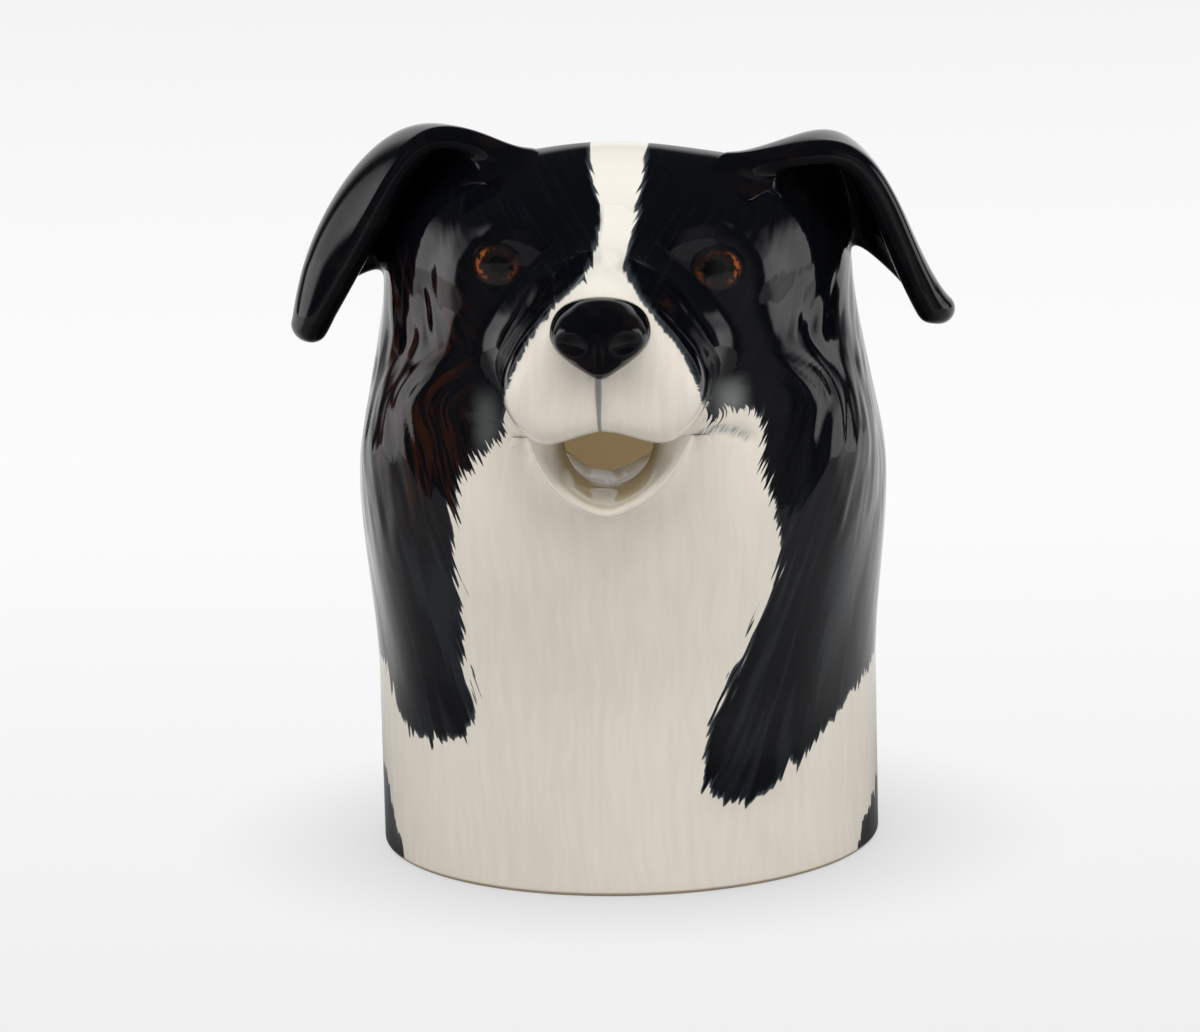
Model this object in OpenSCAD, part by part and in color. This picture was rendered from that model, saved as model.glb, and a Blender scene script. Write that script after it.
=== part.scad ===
// Face jug: a glazed earthenware jug in the shape of a collie's head and chest.
// It is filled through the open crown, held by a loop at the back and poured through the mouth.
// Millimetres. +Z is up, the face looks along -Y, and the origin is the middle of the base.
// Headings are degrees round the axis: 0 is the face, 90 the jug's left side, 180 the handle.

/* [Body] */
// Outer radius of the wall at the foot
foot_r = 55; // [48:0.5:62]
// Outer radius at the fullest part of the ruff
ruff_r = 58; // [52:0.5:66]
// Outer radius at the temples, where the crown starts to close
temple_r = 50.5; // [48:0.5:58]
// Height where the ruff starts to swell
ruff_low_z = 38; // [20:1:55]
// Height of the fullest part of the ruff
ruff_z = 82; // [70:1:92]
// Height of the temples
temple_z = 127; // [122:1:132]
// Thickness of the cast wall
wall = 5; // [3:0.5:6]
// Thickness of the base slab
base_t = 6; // [3:0.5:12]
// Layer of joining slip between two pieces
slip = 0.3; // [0.25:0.05:0.5]

/* [Filling mouth] */
// Height of the rim over the forehead, above the temples
crown_front_h = 31; // [26:1:38]
// Height of the rim over the handle, above the temples
crown_back_h = 12; // [9:1:18]
// Distance from the axis to the rim over the forehead
rim_front_r = 24; // [18:1:28]
// Distance from the axis to the rim at the sides
rim_side_r = 39; // [36:1:42]
// Distance from the axis to the rim over the handle
rim_back_r = 45; // [40:1:46]

/* [Face relief] */
// How far the face is flatter than the round wall
face_flat = 4; // [0:0.5:6]
// Rise of the brows
brow_rise = 2; // [0:0.25:3]
// Depth of the eye sockets
socket_depth = 1.5; // [0:0.25:2.5]
// Rise of the cheeks
cheek_rise = 2; // [0:0.25:4]
// Rise of the locks of the ruff
lock_rise = 1.5; // [0:0.25:3]

/* [Spout] */
// Diameter of the hole cut through the wall
spout_d = 20.5; // [14:0.5:22]
// Height of the hole's middle
spout_z = 99.5; // [96:0.5:102]

/* [Muzzle] */
// Width across the lips
muzzle_w = 44; // [38:1:50]
// Height of the muzzle's middle above the spout's
muzzle_above_spout = 16.5; // [15.5:0.5:19]
// Height from the middle to the top of the bridge
muzzle_up = 23; // [20:1:26]
// Height from the middle down to the hanging lips
muzzle_down = 17.5; // [16:0.5:18]
// Reach of the muzzle in front of the face
muzzle_reach = 27; // [22:1:32]
// Height of the arch between the hanging lips
lip_arch = 5; // [3:0.5:7]
// Thickness of the upper lip in front of the spout
lip_t = 7; // [4:0.5:9]

/* [Lower lip] */
// Width across the corners of the lip
jaw_w = 32; // [28:1:36]
// Depth of the lip's middle below the spout's
jaw_below_spout = 7.5; // [7:0.5:9]
// Height from the middle to the edge of the lip
jaw_up = 5.5; // [4.5:0.5:6]
// Height from the middle down to the chin
jaw_down = 8; // [7:0.5:10]
// Reach of the lip in front of the chest
jaw_reach = 14; // [10:0.5:18]

/* [Nose] */
// Width of the nose
nose_w = 21; // [17:0.5:25]
// Height of the nose's middle above the muzzle's
nose_above_muzzle = 10; // [8:0.5:11]
// Height from the middle to the top of the nose
nose_up = 8; // [6:0.5:9]
// Height from the middle to the point of the nose
nose_down = 9; // [7:0.5:10]
// Rise of the nose from the muzzle
nose_rise = 5; // [3:0.5:7]

/* [Eyes] */
// Width of an eye
eye_w = 11; // [8:0.5:13]
// Height of an eye
eye_h = 8.5; // [6:0.5:10]
// Height of the eyes' middle above the temples
eye_above_temples = 7.5; // [5:0.5:10]
// Heading of the eyes, each side of the face
eye_heading = 29; // [26:0.5:32]
// How much lower the left eye sits than the middle height, and the right eye higher
eye_lean = 0.8; // [0:0.1:1.5]
// Rise of an eye from its socket
eye_rise = 2.2; // [1:0.1:3]

/* [Ears] */
// Reach of the tip of an ear beyond the temples
ear_span = 20.5; // [16:0.5:28]
// Depth from the axis forward to the front edge of an ear
ear_depth = 28; // [24:1:30]
// Depth of the tips of the ears below the temples
ear_tip_below = 10; // [5:0.5:18]
// Height from the tip to the fold of an ear
ear_drop = 44; // [40:1:48]
// Thickness of the ear
ear_t = 5; // [3:0.5:6]

/* [Handle] */
// Depth of the upper root of the handle below the temples
handle_top_below = 7; // [5:1:16]
// Height of the lower root of the handle
handle_low_z = 46; // [36:1:60]
// Reach of the handle's middle line behind the wall
handle_reach = 36; // [30:1:46]
// Width of the handle
handle_w = 17; // [12:0.5:22]
// Thickness of the handle
handle_t = 11; // [8:0.5:14]

/* [Hidden] */
$fn = 96;

// How far a cut runs past what it cuts
overrun = wall / 2;

// Heights worked out from those above
rim_front_z = temple_z + crown_front_h;
rim_back_z = temple_z + crown_back_h;
muzzle_z = spout_z + muzzle_above_spout;
jaw_z = spout_z - jaw_below_spout;
nose_z = muzzle_z + nose_above_muzzle;
eye_z = temple_z + eye_above_temples;
ear_reach = temple_r + ear_span;
ear_tip_z = temple_z - ear_tip_below;
handle_top_z = temple_z - handle_top_below;

// Places and spreads of the face relief, as headings and as shares of the temples' height
face_angles = [0, 62];
face_shares = [0.88, 0.36];
brow_angles = [21, 15];
brow_shares = [1.125, 0.063];
socket_angles = [eye_heading, 15];
socket_shares = [eye_z / temple_z, 0.087];
cheek_angles = [50, 30];
cheek_shares = [0.85, 0.19];

// The locks of the ruff, as the headings and shares of their upper and lower ends
lock_half_angle = 20;
lock_fade_share = 0.11;
right_lock_angles = [-66, -46];
right_lock_shares = [0.82, 0.25];
left_lock_angles = [66, 28];
left_lock_shares = [0.82, 0.12];

// Mesh counts
cols = 80;
barrel_rows = 34;
crown_rows = 12;
lining_rows = 8;
sprig_cols = 44;
ear_rows = 22;
ear_cols = 12;
handle_rows = 30;
handle_cols = 24;

black_glaze = "#17181b";
cream_glaze = "#d8d0c3";
iris_brown = "#5a2f1c";

// Unit shapes
function clamp01(t) = min(max(t, 0), 1);
function mix(a, b, t) = a + (b - a) * t;
function ease(t) = let (c = clamp01(t)) c * c * (3 - 2 * c);
function bell(t) = let (c = clamp01(1 - t * t)) c * c;
function flat_list(rings) = [for (ring = rings) each ring];

// Crown: the rim is an oval, set back over the handle and sloping down towards it
rim_mean = (rim_front_r + rim_back_r) / 4 + rim_side_r / 2;
rim_lean = (rim_front_r - rim_back_r) / 2;
rim_oval = (rim_front_r + rim_back_r) / 4 - rim_side_r / 2;
rim_mean_z = (rim_front_z + rim_back_z) / 2;
rim_slope_z = (rim_front_z - rim_back_z) / 2;
function rim_r(th) = rim_mean + rim_lean * cos(th) + rim_oval * cos(2 * th);
function rim_z(th) = rim_mean_z + rim_slope_z * cos(th);

// Wall: foot, ruff and temples, with the face flattened
function barrel_r(z) = z < ruff_z
    ? mix(foot_r, ruff_r, ease((z - ruff_low_z) / (ruff_z - ruff_low_z)))
    : mix(ruff_r, temple_r, ease((z - ruff_z) / (temple_z - ruff_z)));
function patch(th, z, angles, shares) =
    bell((th - angles[0]) / angles[1]) * bell((z / temple_z - shares[0]) / shares[1]);
function both_sides(th, z, angles, shares) =
    patch(th, z, angles, shares) + patch(-th, z, angles, shares);
function flattening(th, z) = -face_flat * patch(th, z, face_angles, face_shares);
function crown_share(th, z) = clamp01((z - temple_z) / (rim_z(th) - temple_z));
function plain_r(th, z) =
    mix(rim_r(th), barrel_r(min(z, temple_z)), sqrt(1 - pow(crown_share(th, z), 2)))
    + flattening(th, z);

// Relief: brows, sockets, cheeks and the two locks of the ruff
function lock(th, z, angles, shares) =
    let (at = z / temple_z)
    let (along = (shares[0] - at) / (shares[0] - shares[1]))
    bell((th - mix(angles[0], angles[1], along)) / lock_half_angle)
    * ease((at - shares[1]) / lock_fade_share) * ease((shares[0] - at) / lock_fade_share);
function relief(th, z) =
    brow_rise * both_sides(th, z, brow_angles, brow_shares)
    - socket_depth * both_sides(th, z, socket_angles, socket_shares)
    + cheek_rise * both_sides(th, z, cheek_angles, cheek_shares)
    + lock_rise * lock(th, z, right_lock_angles, right_lock_shares)
    + lock_rise * lock(th, z, left_lock_angles, left_lock_shares);
function outer_r(th, z) = plain_r(th, z) + relief(th, z);

// A point at a heading, a distance from the axis and a height
function around(th, r, z) = [r * sin(th), -r * cos(th), z];
// A point at a side offset, a distance along a heading and a height
function facing(th, u, out, z) =
    [u * cos(th) + out * sin(th), u * sin(th) - out * cos(th), z];
// How far along a heading the outer face lies, at a side offset and a height
function seat_reach(th, u, z, turn = 0, tries = 4) =
    let (r = outer_r(th + turn, z))
    tries == 0 ? r * cos(turn) : seat_reach(th, u, z, asin(u / r), tries - 1);
// A point on the crown, at a share of the quarter turn from the temple to the rim
function crown_point(th, quarter, lift = 0) =
    let (z = mix(temple_z, rim_z(th), sin(quarter)))
    let (r = mix(rim_r(th), temple_r, cos(quarter)) + flattening(th, z) + relief(th, z))
    around(th, r + lift * cos(quarter), z + lift * sin(quarter));

// Two triangles for each cell between neighbouring rings
function cell_faces(first, second, count) = [
    for (i = [0 : count - 1])
        let (j = (i + 1) % count)
        each [[first + i, first + j, second + j], [first + i, second + j, second + i]]
];
function fan_faces(tip, first, count, flip) = [
    for (i = [0 : count - 1])
        let (j = (i + 1) % count)
        flip ? [tip, first + j, first + i] : [tip, first + i, first + j]
];

// A closed skin over rings that end in a point at both ends
module tipped_loft(tip_a, rings, tip_b) {
    count = len(rings[0]);
    last = len(rings) - 1;
    polyhedron(
        points = concat([tip_a], flat_list(rings), [tip_b]),
        faces = concat(
            fan_faces(0, 1, count, false),
            [for (k = [0 : last - 1]) each cell_faces(1 + (k + 1) * count, 1 + k * count, count)],
            fan_faces(1 + (last + 1) * count, 1 + last * count, count, true)
        )
    );
}

// A closed skin over rings whose last ring joins the first
module ring_loft(rings) {
    count = len(rings[0]);
    total = len(rings);
    polyhedron(
        points = flat_list(rings),
        faces = [for (k = [0 : total - 1]) each cell_faces(((k + 1) % total) * count, k * count, count)]
    );
}

// A sprig is a moulded piece pressed onto a seat. Its level runs from 0 at the middle to 1 at the
// edge. Swell gives its rise over the seat at a level, from the side and top powers.
function swell(level, side_power, top_power) =
    pow(max(0, 1 - pow(level, 2 / side_power)), top_power / 2);
function level_reach(level, a, wanted, high, low = 0, tries = 18) =
    let (middle = (low + high) / 2)
    tries == 0 ? middle
    : level(middle * cos(a), middle * sin(a)) < wanted
        ? level_reach(level, a, wanted, high, middle, tries - 1)
        : level_reach(level, a, wanted, middle, low, tries - 1);

module sprig(th, z, span, level, seat, rise, rows) {
    back_shares = [0.2, 0.4, 0.6, 0.8];
    front_step = 90 / rows;
    function ring(wanted, face) = [
        for (i = [0 : sprig_cols - 1])
            let (a = 360 * i / sprig_cols)
            let (d = level_reach(level, a, wanted, span))
            let (u = d * cos(a))
            let (dz = d * sin(a))
            facing(th, u, seat(u, z + dz) + slip + (face ? rise(u, dz, wanted) : 0), z + dz)
    ];
    tipped_loft(
        facing(th, 0, seat(0, z) + slip, z),
        concat(
            [for (share = back_shares) ring(share, false)],
            [for (k = [0 : rows - 1]) ring(pow(cos(k * front_step), sprig_side_power), true)]
        ),
        facing(th, 0, seat(0, z) + slip + rise(0, 0, 0), z)
    );
}

// Round cut for the spout, from inside the wall to a distance in front of the axis
spout_start = plain_r(0, spout_z) - wall * 2;
module spout_bore(front) {
    translate([0, -spout_start, spout_z]) rotate([90, 0, 0]) cylinder(d = spout_d, h = front - spout_start);
}

// Body shell: the cast wall from the foot to the rim, with its lining and the cut spout
module body_shell() {
    headings = [for (i = [0 : cols - 1]) 360 * i / cols - 180];
    barrel = [for (k = [0 : barrel_rows - 1])
        let (z = temple_z * k / barrel_rows)
        [for (th = headings) around(th, outer_r(th, z), z)]];
    crown = [for (k = [0 : crown_rows]) [for (th = headings) crown_point(th, 90 * k / crown_rows)]];
    crown_lining = [for (k = [lining_rows : -1 : 0])
        let (quarter = 90 * k / lining_rows)
        [for (th = headings)
            let (z = mix(temple_z, rim_z(th) - wall, sin(quarter)))
            let (r = mix(rim_r(th), temple_r - wall, cos(quarter)) + flattening(th, z))
            around(th, r, z)]];
    barrel_lining = [for (k = [lining_rows - 1 : -1 : 0])
        let (z = temple_z * k / lining_rows)
        [for (th = headings) around(th, plain_r(th, z) - wall, z)]];
    color(cream_glaze) difference() {
        ring_loft(concat(barrel, crown, crown_lining, barrel_lining));
        spout_bore(ruff_r + overrun);
    }
}

// Base slab: the round floor, set flush inside the foot of the wall
module base_slab() {
    color(cream_glaze) cylinder(r = foot_r - wall - slip, h = base_t);
}

// Muzzle: the upper jaw, narrow at the bridge and wide at the hanging lips
sprig_side_power = 0.5;
muzzle_top_power = 0.7;
muzzle_roundness = 2.5;
muzzle_rows = 18;
bridge_share = 0.42;
lip_arch_share = 0.34;
nose_lead_share = 0.16;
function muzzle_half_w(dz) =
    muzzle_w / 2 * mix(1, bridge_share, clamp01(dz / muzzle_up));
function muzzle_half_h(u, dz) =
    dz > 0 ? muzzle_up : muzzle_down - lip_arch * bell(u / (lip_arch_share * muzzle_w));
function muzzle_level(u, dz) = pow(
    pow(abs(u) / muzzle_half_w(dz), muzzle_roundness)
    + pow(abs(dz) / muzzle_half_h(u, dz), muzzle_roundness),
    1 / muzzle_roundness);
function muzzle_rise(u, dz, level) =
    muzzle_reach * (1 + nose_lead_share * dz / muzzle_up)
    * swell(level, sprig_side_power, muzzle_top_power);
function muzzle_front(u, z) =
    let (dz = z - muzzle_z)
    seat_reach(0, u, z) + slip + muzzle_rise(u, dz, min(1, muzzle_level(u, dz)));

module muzzle() {
    color(cream_glaze) difference() {
        sprig(0, muzzle_z, muzzle_w, function(u, dz) muzzle_level(u, dz),
              function(u, z) seat_reach(0, u, z),
              function(u, dz, level) muzzle_rise(u, dz, level), muzzle_rows);
        spout_bore(muzzle_front(0, muzzle_z - muzzle_down / 2) - lip_t);
    }
}

// Lower lip: a pouring lip with a trough that runs on from the spout
jaw_roundness = 2.4;
jaw_top_power = 0.8;
jaw_rows = 9;
chin_share = 0.45;
lip_lead_share = 0.35;
function jaw_half_w(dz) = jaw_w / 2 * mix(1, chin_share, clamp01(-dz / jaw_down));
function jaw_level(u, dz) = pow(
    pow(abs(u) / jaw_half_w(dz), jaw_roundness)
    + pow(abs(dz) / (dz > 0 ? jaw_up : jaw_down), jaw_roundness),
    1 / jaw_roundness);
function jaw_rise(u, dz, level) =
    jaw_reach * (1 + lip_lead_share * dz / jaw_up)
    * swell(level, sprig_side_power, jaw_top_power);

module lower_lip() {
    color(cream_glaze) difference() {
        sprig(0, jaw_z, jaw_w, function(u, dz) jaw_level(u, dz),
              function(u, z) seat_reach(0, u, z),
              function(u, dz, level) jaw_rise(u, dz, level), jaw_rows);
        spout_bore(ruff_r + jaw_reach + overrun);
    }
}

// Nose: a rounded pad that comes to a point over the middle of the lip
nose_roundness = 2.3;
nose_top_power = 1;
nose_rows = 8;
nose_point_share = 0.25;
nose_lift_share = 0.6;
function nose_half_w(dz) = nose_w / 2 * mix(1, nose_point_share, clamp01(-dz / nose_down));
function nose_level(u, dz) = pow(
    pow(abs(u) / nose_half_w(dz), nose_roundness)
    + pow(abs(dz) / (dz > 0 ? nose_up : nose_down), nose_roundness),
    1 / nose_roundness);

module nose() {
    color(black_glaze)
        sprig(0, nose_z, nose_w, function(u, dz) nose_level(u, dz),
              function(u, z) muzzle_front(u, z) + slip * nose_lift_share,
              function(u, dz, level) nose_rise * swell(level, sprig_side_power, nose_top_power),
              nose_rows);
}

// Eyes: lens-shaped pellets in the sockets
eye_rows = 5;
eye_top_power = 1;
function eye_level(u, dz) = norm([u / (eye_w / 2), dz / (eye_h / 2)]);

module eye(heading, z) {
    color(iris_brown)
        sprig(heading, z, eye_w, function(u, dz) eye_level(u, dz),
              function(u, z) seat_reach(heading, u, z),
              function(u, dz, level) eye_rise * swell(level, sprig_side_power, eye_top_power),
              eye_rows);
}

module left_eye() {
    eye(eye_heading, eye_z - eye_lean);
}

module right_eye() {
    eye(-eye_heading, eye_z + eye_lean);
}

// Ears: a cupped leaf between a front edge, a spine and a lower edge that meet at the tip.
// Each edge starts on the crown, at a heading and a quarter turn, and is steered by three points
// that are shares of the reach, of the depth in front of the axis and of the drop over the tip.
// The two ears were bent by hand, so their shares differ a little.
ear_roots = [[40, 78], [76, 62], [87, 9]];
ear_root_half = [3, 7];
ear_root_lift_share = 1.4;
right_ear_shares = [
    [[0.617, 1, 1.27], [0.732, 0.93, 0.62], [0.958, 0.57, 0.02]],
    [[0.59, 0.29, 1.1], [0.935, 0.14, 0.6], [0.979, 0.43, 0.01]],
    [[0.76, 0.18, 0.43], [0.845, 0.36, 0.2], [0.958, 0.46, -0.02]]
];
left_ear_shares = [
    [[0.662, 1, 1.1], [0.737, 0.93, 0.7], [0.986, 0.57, 0.08]],
    [[0.65, 0.29, 1.03], [0.855, 0.14, 0.42], [0.993, 0.43, 0.08]],
    [[0.76, 0.18, 0.5], [0.86, 0.36, 0.25], [0.979, 0.46, 0.05]]
];
ear_edge_share = 0.35;
ear_edge_power = 4;
ear_root_blend = 0.3;

function bezier(p, s) =
    pow(1 - s, 3) * p[0] + 3 * s * pow(1 - s, 2) * p[1] + 3 * s * s * (1 - s) * p[2] + pow(s, 3) * p[3];
function ear_edge(root, shares) = concat(
    [crown_point(root.x, root.y)],
    [for (p = shares) [p.x * ear_reach, -p.y * ear_depth, ear_tip_z + p.z * ear_drop]]);

// The leaf's middle surface, across it by t from the front edge through the spine to the lower edge
function through(places, t) =
    let (pull = 2 * places[1] - (places[0] + places[2]) / 2)
    pow(1 - t, 2) * places[0] + 2 * t * (1 - t) * pull + t * t * places[2];
function leaf(edges, s, t) = through([for (edge = edges) bezier(edge, s)], t);
function leaf_normal(edges, s, t) =
    let (d = 0.01)
    let (along = leaf(edges, min(1, s + d), t) - leaf(edges, max(0, s - d), t))
    let (n = cross(along, leaf(edges, s, t + d) - leaf(edges, s, t - d)))
    n / norm(n);
function leaf_half_t(t) =
    ear_t / 2 * mix(ear_edge_share, 1, sqrt(1 - pow(abs(2 * t - 1), ear_edge_power)));
function ear_root_point(t, side) =
    let (at = through(ear_roots, t) + side * ear_root_half)
    crown_point(at.x, at.y, slip * ear_root_lift_share);

module ear(shares) {
    edges = [for (i = [0 : len(ear_roots) - 1]) ear_edge(ear_roots[i], shares[i])];
    steps = [for (i = [0 : ear_cols]) i / ear_cols];
    back_steps = [for (i = [ear_cols : -1 : 0]) i / ear_cols];
    function leaf_side(s, t, side) = leaf(edges, s, t) + side * leaf_half_t(t) * leaf_normal(edges, s, t);
    function leaf_ring(s) = concat(
        [for (t = steps) leaf_side(s, t, 1)],
        [for (t = back_steps) leaf_side(s, t, -1)]);
    root_ring = concat(
        [for (t = steps) ear_root_point(t, 1)],
        [for (t = back_steps) ear_root_point(t, -1)]);
    start_ring = leaf_ring(0);
    rings = [for (k = [0 : ear_rows])
        let (s = k / ear_rows)
        let (ring = leaf_ring(s))
        let (hold = 1 - ease(s / ear_root_blend))
        [for (i = [0 : len(ring) - 1]) ring[i] + hold * (root_ring[i] - start_ring[i])]];
    count = len(root_ring);
    top = ear_rows * count;
    polyhedron(
        points = flat_list(rings),
        faces = concat(
            [for (i = [0 : ear_cols - 1]) each
                [[i, count - 2 - i, i + 1], [i, count - 1 - i, count - 2 - i]]],
            [for (k = [0 : ear_rows - 1]) each cell_faces(k * count, (k + 1) * count, count)],
            [for (i = [0 : ear_cols - 1]) each
                [[top + i, top + i + 1, top + count - 2 - i],
                 [top + i, top + count - 2 - i, top + count - 1 - i]]]
        )
    );
}

module left_ear() {
    color(black_glaze) ear(left_ear_shares);
}

module right_ear() {
    color(black_glaze) mirror([1, 0, 0]) ear(right_ear_shares);
}

// Handle: a strap that leaves the wall square, loops back and joins it again below
handle_heading = 180;
handle_flare_share = 0.3;
handle_flare_rows = 5;
handle_bow_power = 0.6;
handle_droop_share = 0.12;
root_shares = [0.4, 0.75];
handle_mid_z = (handle_top_z + handle_low_z) / 2;
handle_half_h = (handle_top_z - handle_low_z) / 2;
handle_wall_r = seat_reach(handle_heading, 0, handle_mid_z);

// Middle line of the handle as [distance behind the axis, height]
function handle_line(s) =
    let (bow = pow(max(0, sin(180 * s)), handle_bow_power))
    [mix(seat_reach(handle_heading, 0, s < 0.5 ? handle_top_z : handle_low_z),
         handle_wall_r + handle_reach, bow),
     handle_mid_z + handle_half_h * cos(180 * s) * (1 + handle_droop_share * bow)];
function handle_flare(k) =
    1 + handle_flare_share * bell(min(k, handle_rows - k) / handle_flare_rows);
function handle_section(k, i) =
    let (a = 360 * i / handle_cols)
    handle_flare(k) * [handle_w / 2 * cos(a), handle_t / 2 * sin(a)];

module handle() {
    function root_ring(z, k, share, turn) = [
        for (i = [0 : handle_cols - 1])
            let (p = share * handle_section(k, i))
            let (h = z + turn * p.y)
            facing(handle_heading, p.x, seat_reach(handle_heading, p.x, h) + slip, h)
    ];
    function swept_ring(k) =
        let (s = k / handle_rows)
        let (d = handle_line(s + 1 / handle_rows) - handle_line(s - 1 / handle_rows))
        let (across = [-d.y, d.x] / norm(d))
        let (c = handle_line(s))
        [for (i = [0 : handle_cols - 1])
            let (p = handle_section(k, i))
            facing(handle_heading, p.x, c.x + p.y * across.x, c.y + p.y * across.y)];
    color(black_glaze) tipped_loft(
        facing(handle_heading, 0, seat_reach(handle_heading, 0, handle_top_z) + slip, handle_top_z),
        concat(
            [for (share = root_shares) root_ring(handle_top_z, 0, share, 1)],
            [root_ring(handle_top_z, 0, 1, 1)],
            [for (k = [1 : handle_rows - 1]) swept_ring(k)],
            [root_ring(handle_low_z, handle_rows, 1, -1)],
            [for (i = [len(root_shares) - 1 : -1 : 0])
                root_ring(handle_low_z, handle_rows, root_shares[i], -1)]
        ),
        facing(handle_heading, 0, seat_reach(handle_heading, 0, handle_low_z) + slip, handle_low_z)
    );
}

body_shell();
base_slab();
muzzle();
lower_lip();
nose();
left_eye();
right_eye();
left_ear();
right_ear();
handle();
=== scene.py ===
"""Face jug: the looks of a glazed earthenware jug in the shape of a collie's head and chest.

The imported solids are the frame. Each moulded piece is worked out in millimetres, in the frame of the
solids: +Z is up, the face looks along -Y, and a heading of 0 is the face, 90 the jug's left side.
"""

import math

import bmesh
import bpy
import numpy as np
from mathutils import Matrix, Vector


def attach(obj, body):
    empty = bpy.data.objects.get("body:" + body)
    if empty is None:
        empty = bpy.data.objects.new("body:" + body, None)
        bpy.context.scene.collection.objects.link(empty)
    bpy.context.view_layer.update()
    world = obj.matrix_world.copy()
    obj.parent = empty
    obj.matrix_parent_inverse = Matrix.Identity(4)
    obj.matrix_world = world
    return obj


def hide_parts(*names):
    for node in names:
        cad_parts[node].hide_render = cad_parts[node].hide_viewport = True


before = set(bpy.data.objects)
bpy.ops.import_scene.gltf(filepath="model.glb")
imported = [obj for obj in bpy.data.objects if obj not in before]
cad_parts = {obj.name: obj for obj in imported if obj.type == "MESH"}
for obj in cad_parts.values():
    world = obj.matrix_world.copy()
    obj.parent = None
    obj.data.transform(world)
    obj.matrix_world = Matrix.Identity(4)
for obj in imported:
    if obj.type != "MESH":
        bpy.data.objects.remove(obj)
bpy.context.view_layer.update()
MM = 0.001


# Plain shapes of numbers

def ease(t):
    t = np.clip(t, 0, 1)
    return t * t * (3 - 2 * t)


def bell(t):
    return np.clip(1 - t * t, 0, 1) ** 2


def mix(a, b, t):
    return a + (b - a) * t


def soft_min(a, b, blend):
    h = np.clip(blend - np.abs(a - b), 0, None) / blend
    return np.minimum(a, b) - h ** 3 * blend / 6


def soft_max(a, b, blend):
    return -soft_min(-a, -b, blend)


def points(*columns):
    return np.stack(np.broadcast_arrays(*columns), -1).astype(float)


def heading_of(p):
    return np.degrees(np.arctan2(p[..., 0], -p[..., 1]))


def around(heading, r, z):
    h = np.radians(heading)
    return points(r * np.sin(h), -r * np.cos(h), z)


# The clay body: foot, ruff, temples and a crown that closes to an oval filling mouth

FOOT_R, RUFF_R, TEMPLE_R = 55.0, 58.0, 50.5
RUFF_LOW_Z, RUFF_Z, TEMPLE_Z = 38.0, 82.0, 127.0
WALL = 5.0
SPOUT_Z, SPOUT_R = 99.5, 10.25
MM_PER_DEGREE = 0.96  # round the ruff


def rim_r(heading):
    h = np.radians(heading)
    return 36.75 - 10.5 * np.cos(h) - 2.25 * np.cos(2 * h)


def rim_z(heading):
    return 149.0 + 10.0 * np.cos(np.radians(heading))


def barrel_r(z):
    low = mix(FOOT_R, RUFF_R, ease((z - RUFF_LOW_Z) / (RUFF_Z - RUFF_LOW_Z)))
    high = mix(RUFF_R, TEMPLE_R, ease((z - RUFF_Z) / (TEMPLE_Z - RUFF_Z)))
    return np.where(z < RUFF_Z, low, high)


def hump(heading, z, at, spread):
    """A smooth swelling round a place, both given as heading and height."""
    return bell((heading - at[0]) / spread[0]) * bell((z - at[1]) / spread[1])


def pair(heading, z, at, spread):
    return hump(heading, z, at, spread) + hump(-heading, z, at, spread)


def flattening(heading, z):
    return -4.0 * hump(heading, z, (0, 111.8), (62, 45.7))


def lock(heading, z, top, foot, half=20.0):
    """A lock of the ruff from its top to its foot, both given as heading and height."""
    along = (top[1] - z) / (top[1] - foot[1])
    across = (heading - mix(top[0], foot[0], along)) / half
    return bell(across) * ease((z - foot[1]) / 14) * ease((top[1] - z) / 14)


def line_gap(u, z, a, b):
    """Distance, on the unrolled jug, to the line from a to b."""
    d = b - a
    t = np.clip(((u - a[0]) * d[0] + (z - a[1]) * d[1]) / (d @ d), 0, 1)
    return np.hypot(u - a[0] - t * d[0], z - a[1] - t * d[1])


def crease(heading, z, line, width):
    """Nearness to a line of headings and heights, 1 on it and 0 beyond the width in millimetres."""
    ends = np.array(line) * (MM_PER_DEGREE, 1)
    gap = np.min([line_gap(heading * MM_PER_DEGREE, z, a, b) for a, b in zip(ends, ends[1:])], 0)
    return bell(gap / width)


RIGHT_SMILE = [(17, 96.5), (20, 98.7), (26, 99.9), (33, 98)]
LEFT_SMILE = [(-17, 97), (-21, 98.2), (-27, 100.5), (-34, 101.5)]
SMILE_STROKE = [(20.5, 99.4), (24.5, 100.6), (29, 99.4), (31.5, 98.2)]
SMILE_WIDTH = 2.4

GRAIN = np.random.default_rng(5).random((64, 64))


def grain(x, y):
    """Smooth hand-made unevenness from 0 to 1, one bump to each whole number."""
    i, j = np.floor(x).astype(int), np.floor(y).astype(int)
    f, g = ease(x - i), ease(y - j)
    low = mix(GRAIN[i % 64, j % 64], GRAIN[(i + 1) % 64, j % 64], f)
    high = mix(GRAIN[i % 64, (j + 1) % 64], GRAIN[(i + 1) % 64, (j + 1) % 64], f)
    return mix(low, high, g)


def hair_lines(u, z):
    """Side-to-side place among the hairs. Locks hang down and in and fan out, the face is combed up and out."""
    a = np.abs(u)
    # The middle of each lock, from its top to its foot
    axis = MM_PER_DEGREE * np.where(u < 0, mix(66, 46, (104 - z) / 72), mix(66, 28, (104 - z) / 89))
    hanging = (a - axis) * np.exp((z - 60) / 90)
    combed = 0.82 * a - 0.57 * (z - 101) - 40
    return np.where(u < 0, -1, 1) * mix(hanging, combed, ease((z - 102) / 16))


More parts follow.
